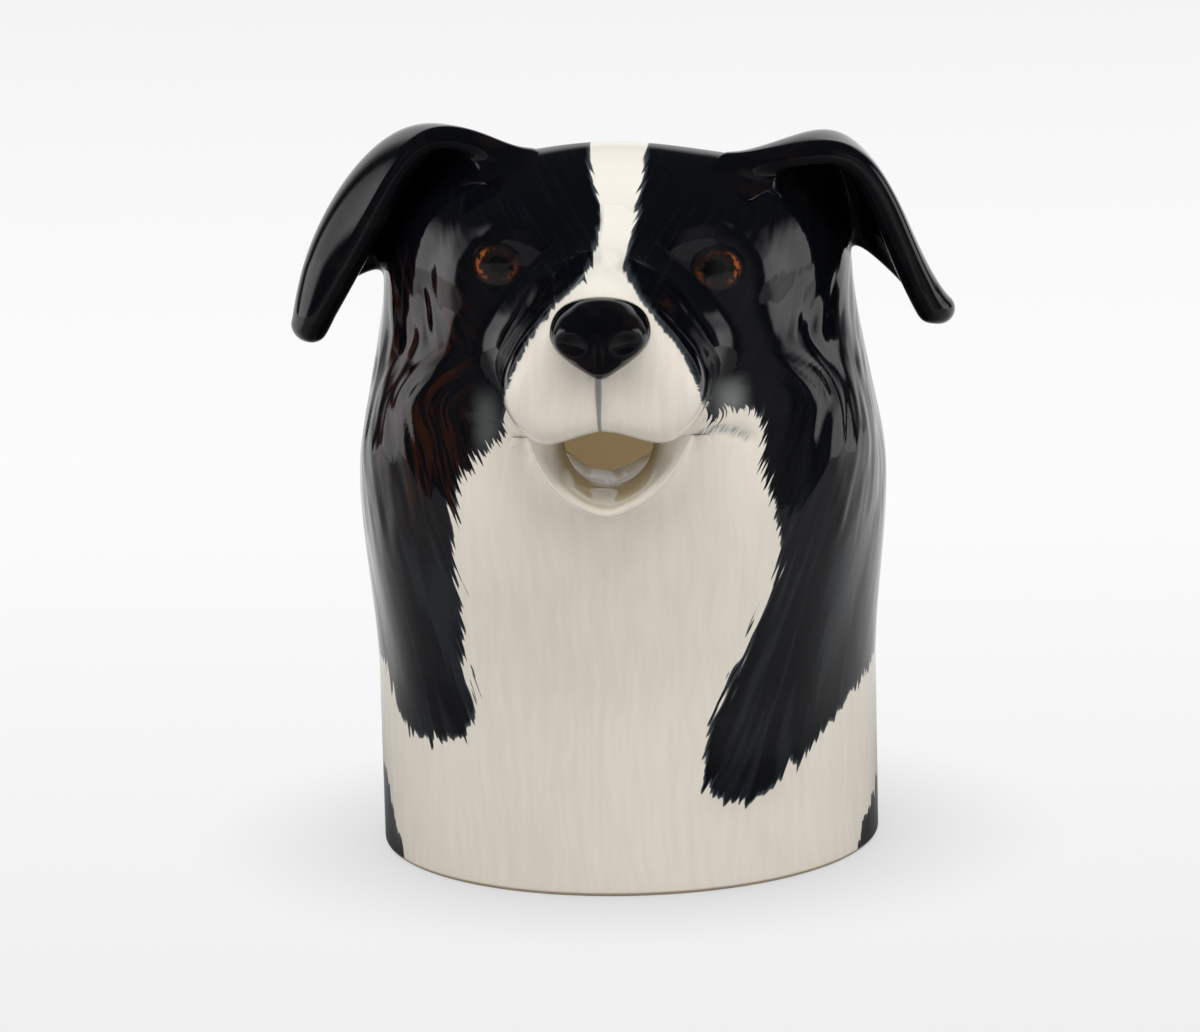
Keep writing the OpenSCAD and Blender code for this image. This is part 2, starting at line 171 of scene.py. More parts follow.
def strands(heading, z):
    """Combed strands of the black coat, as soft ridges a few millimetres apart."""
    across = hair_lines(heading * MM_PER_DEGREE, z)
    ridges = 0.42 * (grain(across / 2.7 + 20, z / 9) - 0.5)
    ridges += 0.2 * (grain(across / 1.7 + 9, z / 6) - 0.5)
    aside = ease((np.abs(heading) - 38) / 10) * (1 - ease((np.abs(heading) - 74) / 18))
    return ridges * aside * ease((z - 66) / 14) * (1 - ease((z - 124) / 10))


MASK_EDGE = ([98, 108, 116, 123, 134, 139.5, 147, 156], [49, 46.5, 43.5, 40.8, 38.8, 35, 31, 24])


def mask(heading, z):
    """The flat front of the face: a soft ridge at its edge and a hollow between that and the ruff."""
    d = (np.abs(heading) - np.interp(z, *MASK_EDGE)) * 0.88
    out = 1.1 * ease((d + 26) / 26) - 2.9 * ease((d + 3) / 17) + 1.8 * ease((d - 10) / 18)
    return 0.8 * out * ease((z - 100) / 12) * (1 - ease((z - 149) / 9))


def relief(heading, z):
    """What the modeller raised and pressed into the round body."""
    out = 1.5 * pair(heading, z, (20, 143.5), (16, 9.0))
    out -= 1.1 * pair(heading, z, (29, 134.5), (15, 11.05))
    out += 2.0 * pair(heading, z, (58, 106), (28, 25)) + 0.9 * pair(heading, z, (88, 119), (30, 24))
    out += 1.5 * lock(heading, z, (-66, 104.1), (-46, 31.8))
    out += 1.5 * lock(heading, z, (66, 104.1), (28, 15.2))
    out -= 0.8 * (crease(heading, z, RIGHT_SMILE, SMILE_WIDTH) + crease(heading, z, LEFT_SMILE, SMILE_WIDTH))
    out += 0.6 * (hump(heading, z, (28, 103.5), (10, 5)) + hump(heading, z, (-29, 105.5), (10, 5)))
    return out + mask(heading, z) + strands(heading, z)


def outer_r(heading, z):
    low = np.minimum(z, TEMPLE_Z)
    t = np.clip((z - TEMPLE_Z) / (rim_z(heading) - TEMPLE_Z), 0, 1)
    plain = mix(rim_r(heading), barrel_r(low), np.sqrt(1 - t * t))
    return plain + flattening(heading, z) + relief(heading, z)


def crown_point(heading, quarter, lift=0.0):
    """A point on the crown, at a quarter turn of 0 at the temples to 90 at the rim."""
    q = np.radians(quarter)
    z = mix(TEMPLE_Z, rim_z(heading), np.sin(q))
    r = mix(rim_r(heading), TEMPLE_R, np.cos(q)) + flattening(heading, z) + relief(heading, z)
    return around(heading, r + lift * np.cos(q), z + lift * np.sin(q))


def onto_body(p, lift=0.0):
    """The point of the body's skin that faces p."""
    heading, z = heading_of(p), p[..., 2]
    r = np.hypot(p[..., 0], p[..., 1])
    up = (z - TEMPLE_Z) / (rim_z(heading) - TEMPLE_Z)
    out = (r - rim_r(heading)) / (TEMPLE_R - rim_r(heading))
    quarter = np.degrees(np.arctan2(np.clip(up, 0, None), np.clip(out, 1e-3, None)))
    low = around(heading, outer_r(heading, z) + lift, z)
    return np.where((z > TEMPLE_Z)[..., None], crown_point(heading, quarter, lift), low)


def body_gap(p):
    """How far p lies outside the body's skin, less than zero inside it."""
    heading, z = heading_of(p), p[..., 2]
    r = np.hypot(p[..., 0], p[..., 1])
    shift = flattening(heading, z) + relief(heading, z)
    a, b = TEMPLE_R - rim_r(heading), rim_z(heading) - TEMPLE_Z
    dr, dz = r - rim_r(heading) - shift, z - TEMPLE_Z
    level = np.hypot(dr / a, dz / b)
    crown = np.hypot(dr, dz) * (1 - 1 / np.maximum(level, 1e-3))
    return np.where(z > TEMPLE_Z, crown, r - outer_r(heading, z))


def seat(u, z):
    """How far in front of the axis the face lies, at a side offset and a height."""
    turn = np.zeros(np.shape(u + z))
    for _ in range(5):
        r = outer_r(turn, z)
        turn = np.degrees(np.arcsin(np.clip(u / r, -0.95, 0.95)))
    return r * np.cos(np.radians(turn))


# Moulded pieces: a grid of cells is wrapped round the form and its seams are closed

def settle(p, gap, steps=7, limit=4.0):
    """Draws points onto the surface where a gap is zero."""
    d = 0.02
    for _ in range(steps):
        g = gap(p)
        slope = np.stack([(gap(p + d * axis) - g) / d for axis in np.eye(3)], -1)
        size = np.maximum((slope ** 2).sum(-1), 0.04)
        move = -(g / size)[..., None] * slope
        far = np.linalg.norm(move, axis=-1, keepdims=True)
        p = p + move * np.minimum(1, limit / np.maximum(far, 1e-9))
    return p


def wrapped(rings):
    """A bmesh skin over rings of points, each ring closed on itself."""
    rings = np.concatenate([rings, rings[:, :1]], 1)
    rows, cols = rings.shape[:2]
    skin = bmesh.new()
    bmesh.ops.create_grid(skin, x_segments=cols - 1, y_segments=rows - 1, size=1.0)
    for v in skin.verts:
        col = round((v.co.x + 1) / 2 * (cols - 1))
        row = round((v.co.y + 1) / 2 * (rows - 1))
        v.co = rings[row, col] * MM
    bmesh.ops.remove_doubles(skin, verts=skin.verts, dist=2e-6)
    bmesh.ops.dissolve_degenerate(skin, edges=skin.edges, dist=1e-7)
    bmesh.ops.recalc_face_normals(skin, faces=skin.faces)
    return skin


def new_object(name, skin, finish):
    mesh = bpy.data.meshes.new(name)
    skin.to_mesh(mesh)
    skin.free()
    mesh.materials.append(finish)
    thing = bpy.data.objects.new(name, mesh)
    bpy.context.scene.collection.objects.link(thing)
    return thing


def finish_piece(name, skin, node, finish):
    """Makes the piece's object, gives it its glaze and sets it on the frame."""
    piece = new_object(name, skin, finish)
    piece.data.shade_smooth()
    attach(piece, "root")
    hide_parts(node)
    return piece


def mark(piece, name, values):
    """Keeps one number for each vertex, for the glaze to read."""
    layer = piece.data.attributes.new(name, "FLOAT", "POINT")
    layer.data.foreach_set("value", np.asarray(values, np.float32))


def places(piece):
    co = np.empty(len(piece.data.vertices) * 3, np.float32)
    piece.data.vertices.foreach_get("co", co)
    return co.reshape(-1, 3).astype(float) / MM


# The painted coat: one outline of the cream on the unrolled jug, in millimetres round and up

CREAM_OUTLINE = [
    (-3.8, 162), (-3.4, 156), (-1.7, 150.6), (-0.8, 145), (-1.6, 140), (-2, 138), (-3.4, 136.6),
    (-6, 134), (-9.4, 131), (-12.8, 127), (-16, 122), (-19, 116.5), (-21.4, 111), (-22.4, 106),
    (-23, 101.5), (-23.6, 98.7), (-26, 97.4), (-29.5, 94.6), (-33.6, 91), (-35.6, 85.5), (-36.6, 77),
    (-36, 68), (-35.4, 59), (-34.3, 50), (-32.8, 41.5), (-32.4, 37), (-35.2, 33), (-41, 31.6),
    (-48.5, 30.4), (-54, 30.8), (-59.6, 34), (-63.5, 38), (-67.5, 43), (-80, 45), (-94, 41), (-110, 30),
    (-92, 21), (-72, 17.6), (-67.4, 12.4), (-63.5, 6.5), (-60, 2.8), (-58, -4), (61, -4),
    (64.6, 1.8), (68.4, 6.5), (75, 10.4), (84, 14), (98, 20), (110, 29), (96, 39), (84, 43),
    (73, 40.4), (61.7, 36.3), (53, 32), (42.5, 27), (36, 21.7), (32, 19.3), (28.3, 19), (23.6, 19.6),
    (19.8, 22.7), (19, 28.3), (20, 34), (23.4, 42), (27.8, 50.5), (31.5, 56.7), (35.6, 63), (37.7, 69.3),
    (38.8, 75.7), (37.4, 82.3), (35.2, 89), (34.5, 99), (33.3, 103), (30, 104.2), (26.5, 103.6),
    (23, 102.2), (21.6, 103.5), (21.3, 108), (20.2, 113), (18.6, 117), (16.4, 121), (14, 124.4),
    (11.3, 128), (8.2, 132.2), (6, 135.4), (4.3, 137.6), (5.2, 140.7), (6.5, 145.7), (7.3, 150.4),
    (8.1, 155), (9, 162),
]


def unrolled(p):
    """Distance round the jug from the middle of the face, and height. In front it follows the side offset."""
    heading = heading_of(p)
    front = FOOT_R * np.arcsin(np.clip(p[:, 0] / FOOT_R, -0.99, 0.99))
    side = FOOT_R * np.radians(heading)
    return mix(front, side, ease((np.abs(heading) - 40) / 22)), p[:, 2]


def depth_in(outline, u, z):
    """Distance to an outline, more than zero inside it."""
    corners = np.array(outline, float)
    gap, inside = np.full(u.shape, np.inf), np.zeros(u.shape, bool)
    for a, b in zip(corners, np.roll(corners, -1, 0)):
        gap = np.minimum(gap, line_gap(u, z, a, b))
        if a[1] != b[1]:
            crosses = (a[1] > z) != (b[1] > z)
            inside ^= crosses & (u < a[0] + (z - a[1]) / (b[1] - a[1]) * (b[0] - a[0]))
    return np.where(inside, gap, -gap)


COAT_MARKS = ("cream", "lining", "pool_and_shade", "hair", "round", "shag", "accent", "smoke_and_highlight")


def paint_coat(piece, lining=None, pool_and_shade=None):
    """Marks what the coat's glaze reads: depth in the cream, tan places, place among the hairs and grey places."""
    p = places(piece)
    u, z = unrolled(p)
    nowhere = np.zeros(len(p))
    # Strokes are long on the ruff and the brow, and short round the lips and along the blaze
    lips = ease((z - 101) / 4) * (1 - ease((z - 137) / 6))
    lips *= ease((np.abs(u) - 2) / 3) * (1 - ease((u - 22) / 3))
    blaze = ease((z - 133) / 5) * (1 - ease((np.abs(u) - 14) / 4))
    shag = (1 - 0.8 * lips) * (1 - 0.5 * blaze)
    # Grey paint lies beside the lips and over the black patches at the foot. Beside the lips it is also a painted
    # highlight
    smoke_and_highlight = 1.9 * bell((u - 26.5) / 6) * bell((z - 106) / 6)
    smoke_and_highlight += 0.8 * bell((u + 27) / 5) * bell((z - 102) / 9)
    smoke_and_highlight += 0.6 * bell((np.abs(u) - 62) / 9) * bell((z - 10) / 14)
    values = (depth_in(CREAM_OUTLINE, u, z), lining(p) if lining else nowhere, pool_and_shade(p) if pool_and_shade else nowhere,
              hair_lines(u, z), u, shag, crease(u / MM_PER_DEGREE, z, SMILE_STROKE, SMILE_WIDTH / 2), smoke_and_highlight)
    for name, each in zip(COAT_MARKS, values):
        mark(piece, name, each)


# Glazes

def linear(hex_colour):
    """An sRGB hex colour as the linear values that a shader takes."""
    c = [int(hex_colour[i:i + 2], 16) / 255 for i in (1, 3, 5)]
    return tuple(v / 12.92 if v <= 0.04045 else ((v + 0.055) / 1.055) ** 2.4 for v in c) + (1.0,)


SOFT = {"interpolation_type": "SMOOTHSTEP"}
PAINT = {"data_type": "RGBA", "out": 2}
PLUS, MINUS, TIMES, LARGER, SIZE = [
    {"operation": each} for each in ("ADD", "SUBTRACT", "MULTIPLY", "MAXIMUM", "ABSOLUTE")]
GLOSS = {"Roughness": 0.07, "IOR": 1.5}  # fired clear glaze


def add(tree, kind, *inputs, out=0, **settings):
    """Adds a node with its settings, sets or links its inputs, given in order or as a dict, and gives an output."""
    node = tree.nodes.new("ShaderNode" + kind)
    for key, value in settings.items():
        setattr(node, key, value)
    chosen = inputs[0] if inputs and isinstance(inputs[0], dict) else dict(enumerate(inputs))
    for key, value in chosen.items():
        if isinstance(value, bpy.types.NodeSocket):
            tree.links.new(value, node.inputs[key])
        else:
            node.inputs[key].default_value = linear(value) if isinstance(value, str) else value
    return node.outputs[out] if len(node.outputs) else None


def empty_material(name):
    material = bpy.data.materials.new(name)
    material.use_nodes = True
    material.node_tree.nodes.clear()
    return material, material.node_tree


def coat_glaze(name):
    """Cream tin glaze with the black coat brushed on in hair strokes, under a clear fired gloss.
    The eye sees soft brush marks in the cream, hair tips along the black, a grey edge where the black
    runs thin, brown where it breaks, a tan lining and a dry foot."""
    glaze, tree = empty_material(name)
    place = add(tree, "TexCoord", out="Object")
    side, back, up = add(tree, "SeparateXYZ", place).node.outputs
    cream, lining, pool_and_shade, hair, around_jug, shag, accent, smoke_and_highlight = [
        add(tree, "Attribute", attribute_name=each, out="Fac") for each in COAT_MARKS]

    def strokes(across, width, length, detail):
        """Streaks of a brush that run with the hairs, by their width and length in millimetres."""
        at = add(tree, "CombineXYZ", add(tree, "Math", across, 1 / width, **TIMES),
                 add(tree, "Math", up, 1 / MM / length, **TIMES))
        return add(tree, "TexNoise", {"Vector": at, "Scale": 1.0, "Detail": detail, "Roughness": 0.55},
                   noise_dimensions="2D")

    # Hair tips: strokes about 1.2 mm wide and 11 mm long, in tufts of 6 mm, push the edge of the black to and fro
    fine = strokes(hair, 1.2, 11.0, 1.5)
    tuft = add(tree, "MapRange", strokes(hair, 6.0, 14.0, 1.0), 0.3, 0.7, 3.5, 10.0, **SOFT)
    tips = add(tree, "Math", add(tree, "Math", fine, 0.5, **MINUS), add(tree, "Math", tuft, shag, **TIMES), **TIMES)
    edge = add(tree, "Math", tips, cream, **PLUS)
    bare = add(tree, "MapRange", edge, -0.12, 0.3, **SOFT)
    # The grey edge lies where the black is within a millimetre or so of the cream
    thin = add(tree, "MapRange", edge, -1.1, 0.0, 0.0, 0.8, **SOFT)

    # Cream: brush marks about 2 mm wide and 18 mm long, bent and toned by clouds about 22 mm wide
    clouds = add(tree, "TexNoise", {"Vector": place, "Scale": 45.0, "Detail": 2.0})
    bent = add(tree, "Math", clouds, 8.0, around_jug, operation="MULTIPLY_ADD")
    marks = add(tree, "Mix", {0: 0.5, 2: strokes(bent, 1.8, 18.0, 3.0), 3: clouds})
    light = add(tree, "Mix", {0: add(tree, "MapRange", marks, 0.32, 0.68, **SOFT), 6: "#d0c9bc", 7: "#d7d0c4"}, **PAINT)
    bridge = add(tree, "MapRange", up, 124 * MM, 142 * MM, **SOFT)
    smile = add(tree, "Math", accent, add(tree, "MapRange", fine, 0.35, 0.6, **SOFT), **TIMES)
    # Crease of the lip: one brush line below the nose, 1.4 mm wide and narrower at its foot
    aside = add(tree, "Math", add(tree, "Math", side, 0.6 * MM, **PLUS), **SIZE)
    taper = add(tree, "MapRange", up, 103.5 * MM, 114 * MM, 1.9, 0.95, **SOFT)
    line = add(tree, "MapRange", add(tree, "Math", aside, taper, **TIMES), 0.4 * MM, 0.9 * MM, 0.8, 0.0, **SOFT)
    for low, high in ((103.5, 105.5), (119, 118)):
        line = add(tree, "Math", line, add(tree, "MapRange", up, low * MM, high * MM, **SOFT), **TIMES)
    # The blaze and the bridge of the nose are whiter, and the smile and the crease are grey
    for share, tone in ((bridge, "#d7d3ca"), (smile, "#7f8a90"), (line, "#6d7274")):
        light = add(tree, "Mix", {0: share, 6: light, 7: tone}, **PAINT)

    # Black: brown shows through in streaks about 2 mm wide on the right cheek
    broken = strokes(add(tree, "Math", clouds, 10.0, hair, operation="MULTIPLY_ADD"), 2.2, 15.0, 4.0)
    streaks = add(tree, "MapRange", broken, 0.47, 0.6, **SOFT)
    for value, low, high in ((side, -26, -37), (up, 70, 85), (up, 136, 128)):
        streaks = add(tree, "Math", streaks, add(tree, "MapRange", value, low * MM, high * MM, **SOFT), **TIMES)
    # Thin slate-grey sweeps, 4 mm wide, run down the locks as brush streaks and a painted sheen, and grey clouds beside
    # the lips are grey paint and a painted highlight
    sweeps_and_sheen = add(tree, "MapRange", strokes(hair, 4.0, 40.0, 2.0), 0.48, 0.7, **SOFT)
    sweeps_and_sheen = add(tree, "Math", sweeps_and_sheen, add(tree, "MapRange", up, 92 * MM, 70 * MM, **SOFT), **TIMES)
    haze_and_highlight = add(tree, "Math", smoke_and_highlight, add(tree, "MapRange", clouds, 0.3, 0.7, 0.25, 0.6, **SOFT), **TIMES)
    dark = add(tree, "Mix", {0: add(tree, "MapRange", fine, 0.5, 0.8, **SOFT), 6: "#06070b", 7: "#0c0d12"}, **PAINT)
    for share, tone in ((streaks, "#25110b"), (sweeps_and_sheen, "#181c21"), (haze_and_highlight, "#7c7e7d"), (thin, "#41474b")):
        dark = add(tree, "Mix", {0: share, 6: dark, 7: tone}, **PAINT)

    colour = add(tree, "Mix", {0: bare, 6: dark, 7: light}, **PAINT)
    # The lining is painted tan, as painted shade and warm bounce light inside the jug. The knife cut in the wall,
    # marked below zero, is painted near-white, as painted light on the cut face in the muzzle's shade. The trough is
    # pooled glaze with painted shade near the spout hole.
    lit_cut_face = add(tree, "MapRange", lining, -0.3, -0.7, **SOFT)
    # The lowest millimetre was wiped free of glaze and is dry biscuit
    dry = add(tree, "MapRange", up, 1.1 * MM, 0.7 * MM, **SOFT)
    for share, tone in ((lining, "#d2bd93"), (lit_cut_face, "#f0ece5"), (pool_and_shade, "#97845c"), (dry, "#a3937c")):
        colour = add(tree, "Mix", {0: share, 6: colour, 7: tone}, **PAINT)
    rough = add(tree, "MapRange", dry, 0.0, 1.0, 0.06, 0.7, **SOFT)
    # Brush strokes 3.5 mm wide stand about 0.03 mm high under the gloss of the black, and fade out at the back
    height = strokes(hair, 3.5, 9.0, 0.5)
    for value, low, high in ((cream, -1.0, -3.0), (back, 35 * MM, 0.0)):
        height = add(tree, "Math", height, add(tree, "MapRange", value, low, high, **SOFT), **TIMES)
    bump = add(tree, "Bump", {"Height": height, "Strength": 1.0, "Distance": 0.06 * MM})
    finish = {"Base Color": colour, "Roughness": rough, "IOR": GLOSS["IOR"], "Normal": bump}
    add(tree, "OutputMaterial", add(tree, "BsdfPrincipled", finish))
    return glaze


def clouded_glaze(name, cloud_mm, low, high, one, two):
    """A glaze of one colour that goes over softly to another in clouds, under a clear fired gloss."""
    glaze, tree = empty_material(name)
    place = add(tree, "TexCoord", out="Object")
    clouds = add(tree, "TexNoise", {"Vector": place, "Scale": 1 / (cloud_mm * MM), "Detail": 3.0})
    share = add(tree, "MapRange", clouds, low, high)
    colour = add(tree, "Mix", {0: share, 6: one, 7: two}, **PAINT)
    add(tree, "OutputMaterial", add(tree, "BsdfPrincipled", {"Base Color": colour, **GLOSS}))
    return glaze


def iris_glaze(name):
    """Brushed eye under clear glaze: a black pupil in a dark iris, with broken orange arcs beside it."""
    glaze, tree = empty_material(name)
    place = add(tree, "TexCoord", out="Object")
    out, up = [add(tree, "Attribute", attribute_name=each, out="Fac") for each in ("eye_out", "eye_up")]

    def far(x, y):
        """Distance from the middle, where 1 is the edge of the eye."""
        squares = [add(tree, "Math", each, each, **TIMES) for each in (x, y)]
        return add(tree, "Math", add(tree, "Math", *squares, **PLUS), operation="SQRT")

    # Brush streaks about a millimetre wide break the arcs
    streaks = add(tree, "TexNoise", {"Vector": place, "Scale": 900.0, "Detail": 4.0})
    wobble = add(tree, "Math", add(tree, "Math", streaks, 0.5, **MINUS), 0.3, **TIMES)
    ring = add(tree, "Math", far(out, up), wobble, **PLUS)
    band = add(tree, "Math", add(tree, "Math", ring, 0.84, **MINUS), **SIZE)
    band = add(tree, "MapRange", band, 0.02, 0.24, 1.0, 0.0, **SOFT)
    # The outer arc is thick, the inner one low and brown, and a thin one runs over the top
    outer = add(tree, "MapRange", out, 0.1, 0.65, **SOFT)
    inner = add(tree, "Math", add(tree, "MapRange", out, -0.15, -0.6, 0.0, 0.6, **SOFT),
                add(tree, "MapRange", up, 0.5, -0.1, **SOFT), **TIMES)
    above = add(tree, "Math", add(tree, "MapRange", up, 0.3, 0.9, 0.0, 0.3, **SOFT),
                add(tree, "MapRange", streaks, 0.35, 0.6, **SOFT), **TIMES)
    arcs = add(tree, "Math", outer, add(tree, "Math", inner, above, **LARGER), **LARGER)
    for share in (band, add(tree, "MapRange", streaks, 0.38, 0.58, 0.05, 1.0, **SOFT)):
        arcs = add(tree, "Math", arcs, share, **TIMES)
    pupil = far(add(tree, "Math", out, 0.18, **PLUS), add(tree, "Math", up, 0.02, **MINUS))
    pupil = add(tree, "Math", pupil, add(tree, "Math", wobble, 1.5, **TIMES), **PLUS)
    layers = ((add(tree, "MapRange", ring, 0.9, 1.15, 1.0, 0.0, **SOFT), "#17110f"),
              (add(tree, "MapRange", arcs, 0.0, 0.5, **SOFT), "#3d1e11"),
              (add(tree, "MapRange", arcs, 0.4, 0.95, **SOFT), "#824220"),
              (add(tree, "MapRange", pupil, 0.44, 0.54, 1.0, 0.0, **SOFT), "#030304"))
    colour = "#06070c"
    for share, tone in layers:
        colour = add(tree, "Mix", {0: share, 6: colour, 7: tone}, **PAINT)
    add(tree, "OutputMaterial", add(tree, "BsdfPrincipled", {"Base Color": colour, **GLOSS}))
    return glaze


COAT = coat_glaze("painted_tin_glaze")
# Black slip under clear glaze: near black and very glossy, with faint brown blots about 6 mm wide where it ran thin
BLACK = clouded_glaze("black_slip_glaze", 6.25, 0.5, 0.75, "#05060a", "#130d0c")
IRIS = iris_glaze("brown_iris_glaze")
# Plain cream tin glaze on the base, painted tan as painted shade and warm bounce light inside the jug, with faint grey
# clouds about 12 mm wide
SHADED_CREAM = clouded_glaze("cream_glaze_painted_shade", 12.5, 0.0, 1.0, "#b3a17f", "#c4b698")


# Body shell: wall, rim and lining as one skin, with the spout cut through the wall

KNIFE_CUTS = [(-0.55, -0.83, 8.05), (-0.14, -0.99, 7.35), (0.38, -0.93, 7.15)]  # direction, and distance out
FOOT_ROUND, RIM_ROUND = 1.2, 2.5
BODY_COLUMNS, FRONT_PULL = 380, 0.48


def body_rings(heading):
    """Rings of the body, from under the foot up the wall, over the rim and down the lining."""
    level = 0 * heading
    foot = outer_r(heading, level)
    rings = [around(heading, foot - WALL, level), around(heading, foot - WALL / 2, level)]
    for a in np.radians([0, 25, 50, 75]):
        rings.append(around(heading, foot - FOOT_ROUND * (1 - np.sin(a)), FOOT_ROUND * (1 - np.cos(a)) + level))
    for z in np.linspace(FOOT_ROUND, TEMPLE_Z, 126)[:-1]:
        rings.append(around(heading, outer_r(heading, z + level), z + level))
    # The crown stops where the round of the rim starts
    last = np.degrees(np.arccos(np.clip((RIM_ROUND - 0.3) / (TEMPLE_R - rim_r(heading)), 0, 1)))
    for share in np.linspace(0, 1, 48):
        rings.append(crown_point(heading, last * share))
    top = rings[-1]
    r_top, z_top = np.hypot(top[:, 0], top[:, 1]), top[:, 2] - RIM_ROUND
    for a in np.radians(np.linspace(90, 270, 12)[1:]):
        rings.append(around(heading, r_top + RIM_ROUND * np.cos(a), z_top + RIM_ROUND * np.sin(a)))
    for q in np.radians(np.linspace(86, 0, 12)):
        z = mix(TEMPLE_Z, rim_z(heading) - WALL, np.sin(q))
        r = mix(rim_r(heading), TEMPLE_R - WALL, np.cos(q)) + flattening(heading, z)
        rings.append(around(heading, r, z))
    for z in np.linspace(TEMPLE_Z, 0, 43)[1:]:
        rings.append(around(heading, barrel_r(z) + flattening(heading, z) - WALL, z + level))
    return np.array(rings)


def make_body():
    # Columns lie closer together in front and on the sides than at the back
    turns = np.linspace(-0.5, 0.5, BODY_COLUMNS + 1)[:-1]
    skin = wrapped(body_rings(360 * turns - FRONT_PULL * np.degrees(np.sin(2 * math.pi * turns))))
    # The knife cut of the spout: both skins are opened and joined by the cut edge
    cut = []
    for face in skin.faces:
        middle = face.calc_center_median()
        if middle.y < 0 and math.hypot(middle.x, middle.z - SPOUT_Z * MM) < SPOUT_R * MM:
            cut.append(face)
    bmesh.ops.delete(skin, geom=cut, context="FACES")
    open_edges = [e for e in skin.edges if e.is_boundary]
    for v in {v for e in open_edges for v in e.verts}:
        inner = body_gap(np.array(v.co) / MM) < -WALL / 2
        d = Vector((v.co.x, v.co.z - SPOUT_Z * MM)).normalized()
        # The knife left the inner edge higher, in three straight cuts
        far = SPOUT_R
        if inner:
            far = min([SPOUT_R] + [c / max(d.x * nx + d.y * ny, 1e-3) for nx, ny, c in KNIFE_CUTS])
        v.co.x, v.co.z = d.x * far * MM, (SPOUT_Z + d.y * far) * MM
    bmesh.ops.bridge_loops(skin, edges=open_edges)
    bmesh.ops.recalc_face_normals(skin, faces=skin.faces)
    body = finish_piece("jug_body", skin, "body_shell", COAT)

    def inside(p):
        r, h = np.hypot(p[:, 0], p[:, 1]), heading_of(p)
        cut_edge = (p[:, 1] < 0) & (np.hypot(p[:, 0], p[:, 2] - SPOUT_Z) < SPOUT_R + 0.1)
        below = r < barrel_r(p[:, 2]) + flattening(h, p[:, 2]) - 3
        lined = np.where(p[:, 2] < TEMPLE_Z, below, body_gap(p) < -2.2)
        # The cut face is marked below zero, for its painted light
        return np.where(cut_edge, -1.0, lined)

    paint_coat(body, inside)


# Sprigs: pieces pressed onto the face. A level runs from 0 at the middle to 1 at the edge.

def swell(level, top_power):
    return np.clip(1 - level ** 4, 0, None) ** (top_power / 2)


def level_reach(level, a, wanted, far=60.0):
    """Distance from the middle, in a direction, where a level is reached."""
    low = np.zeros(np.broadcast(a, wanted).shape)
    high = low + far
    for _ in range(30):
        middle = (low + high) / 2
        short = level(middle * np.cos(a), middle * np.sin(a)) < wanted
        low, high = np.where(short, middle, low), np.where(short, high, middle)
    return low


def ring_at(level, a, wanted):
    """Side offsets and heights, from the middle of a sprig, of the ring where a level is reached."""
    d = level_reach(level, a, wanted)
    return d * np.cos(a), d * np.sin(a)


def oval(u, dz, half_w, half_h, power):
    return ((np.abs(u) / half_w) ** power + (np.abs(dz) / half_h) ** power) ** (1 / power)


def to_gap(level):
    """Turns a level that is 1 on a form's skin into a distance from that skin."""
    def gap(p):
        d = 0.02
        g = level(p)
        slope = np.stack([(level(p + d * axis) - g) / d for axis in np.eye(3)], -1)
        return (g - 1) / np.maximum(np.linalg.norm(slope, axis=-1), 0.01)
    return gap


MUZZLE_Z, MUZZLE_W, MUZZLE_UP, MUZZLE_DOWN, MUZZLE_REACH = 116.0, 44.0, 23.0, 17.5, 27.0


def muzzle_level(u, dz):
    up = dz / MUZZLE_UP
    half_w = MUZZLE_W / 2 * mix(1.04, 0.42, np.clip(up + np.sqrt(up * up + 0.03), 0, 2) / 2)
    half_h = np.where(dz > 0, MUZZLE_UP, MUZZLE_DOWN - 5.0 * bell(u / (0.34 * MUZZLE_W)))
    return oval(u, dz, half_w, half_h, 2.5)


def muzzle_rise(dz):
    return MUZZLE_REACH * (1 + 0.16 * dz / MUZZLE_UP)


def muzzle_front(u, z):
    dz = z - MUZZLE_Z
    return seat(u, z) + muzzle_rise(dz) * swell(np.minimum(1, muzzle_level(u, dz)), 0.7)


def muzzle_form(p):
    lift = np.clip(-p[..., 1] - seat(p[..., 0], p[..., 2]), 0, None)
    dz = p[..., 2] - MUZZLE_Z
    level = muzzle_level(p[..., 0], dz)
    # Square at the lips and rounder towards the bridge, with a groove down the middle of the lip
    square = mix(7.0, 2.5, ease((p[..., 2] - 105) / 20))
    rise = muzzle_rise(dz) - 0.9 * bell((p[..., 0] + 0.6) / 2.2) * ease((119 - p[..., 2]) / 4)
    return (level ** square + (lift / rise) ** 4) ** 0.22


def evened(rings, count):
    """Spaces the rings evenly along each line that crosses them."""
    far = np.linalg.norm(np.diff(rings[..., :3], axis=0), axis=-1)
    far = np.concatenate([np.zeros((1, far.shape[1])), np.cumsum(far, 0)])
    share = np.linspace(0, 1, count)
    out = np.empty((count,) + rings.shape[1:])
    for c in range(rings.shape[1]):
        for k in range(rings.shape[2]):
            out[:, c, k] = np.interp(share * far[-1, c], far[:, c], rings[:, c, k])
    return out


def spout_gap(p, front):
    """Distance outside the pouring way, which ends at a reach in front of the axis."""
    side = np.hypot(p[..., 0], p[..., 2] - SPOUT_Z) - SPOUT_R
    return soft_max(side, -p[..., 1] - front, 3.0)


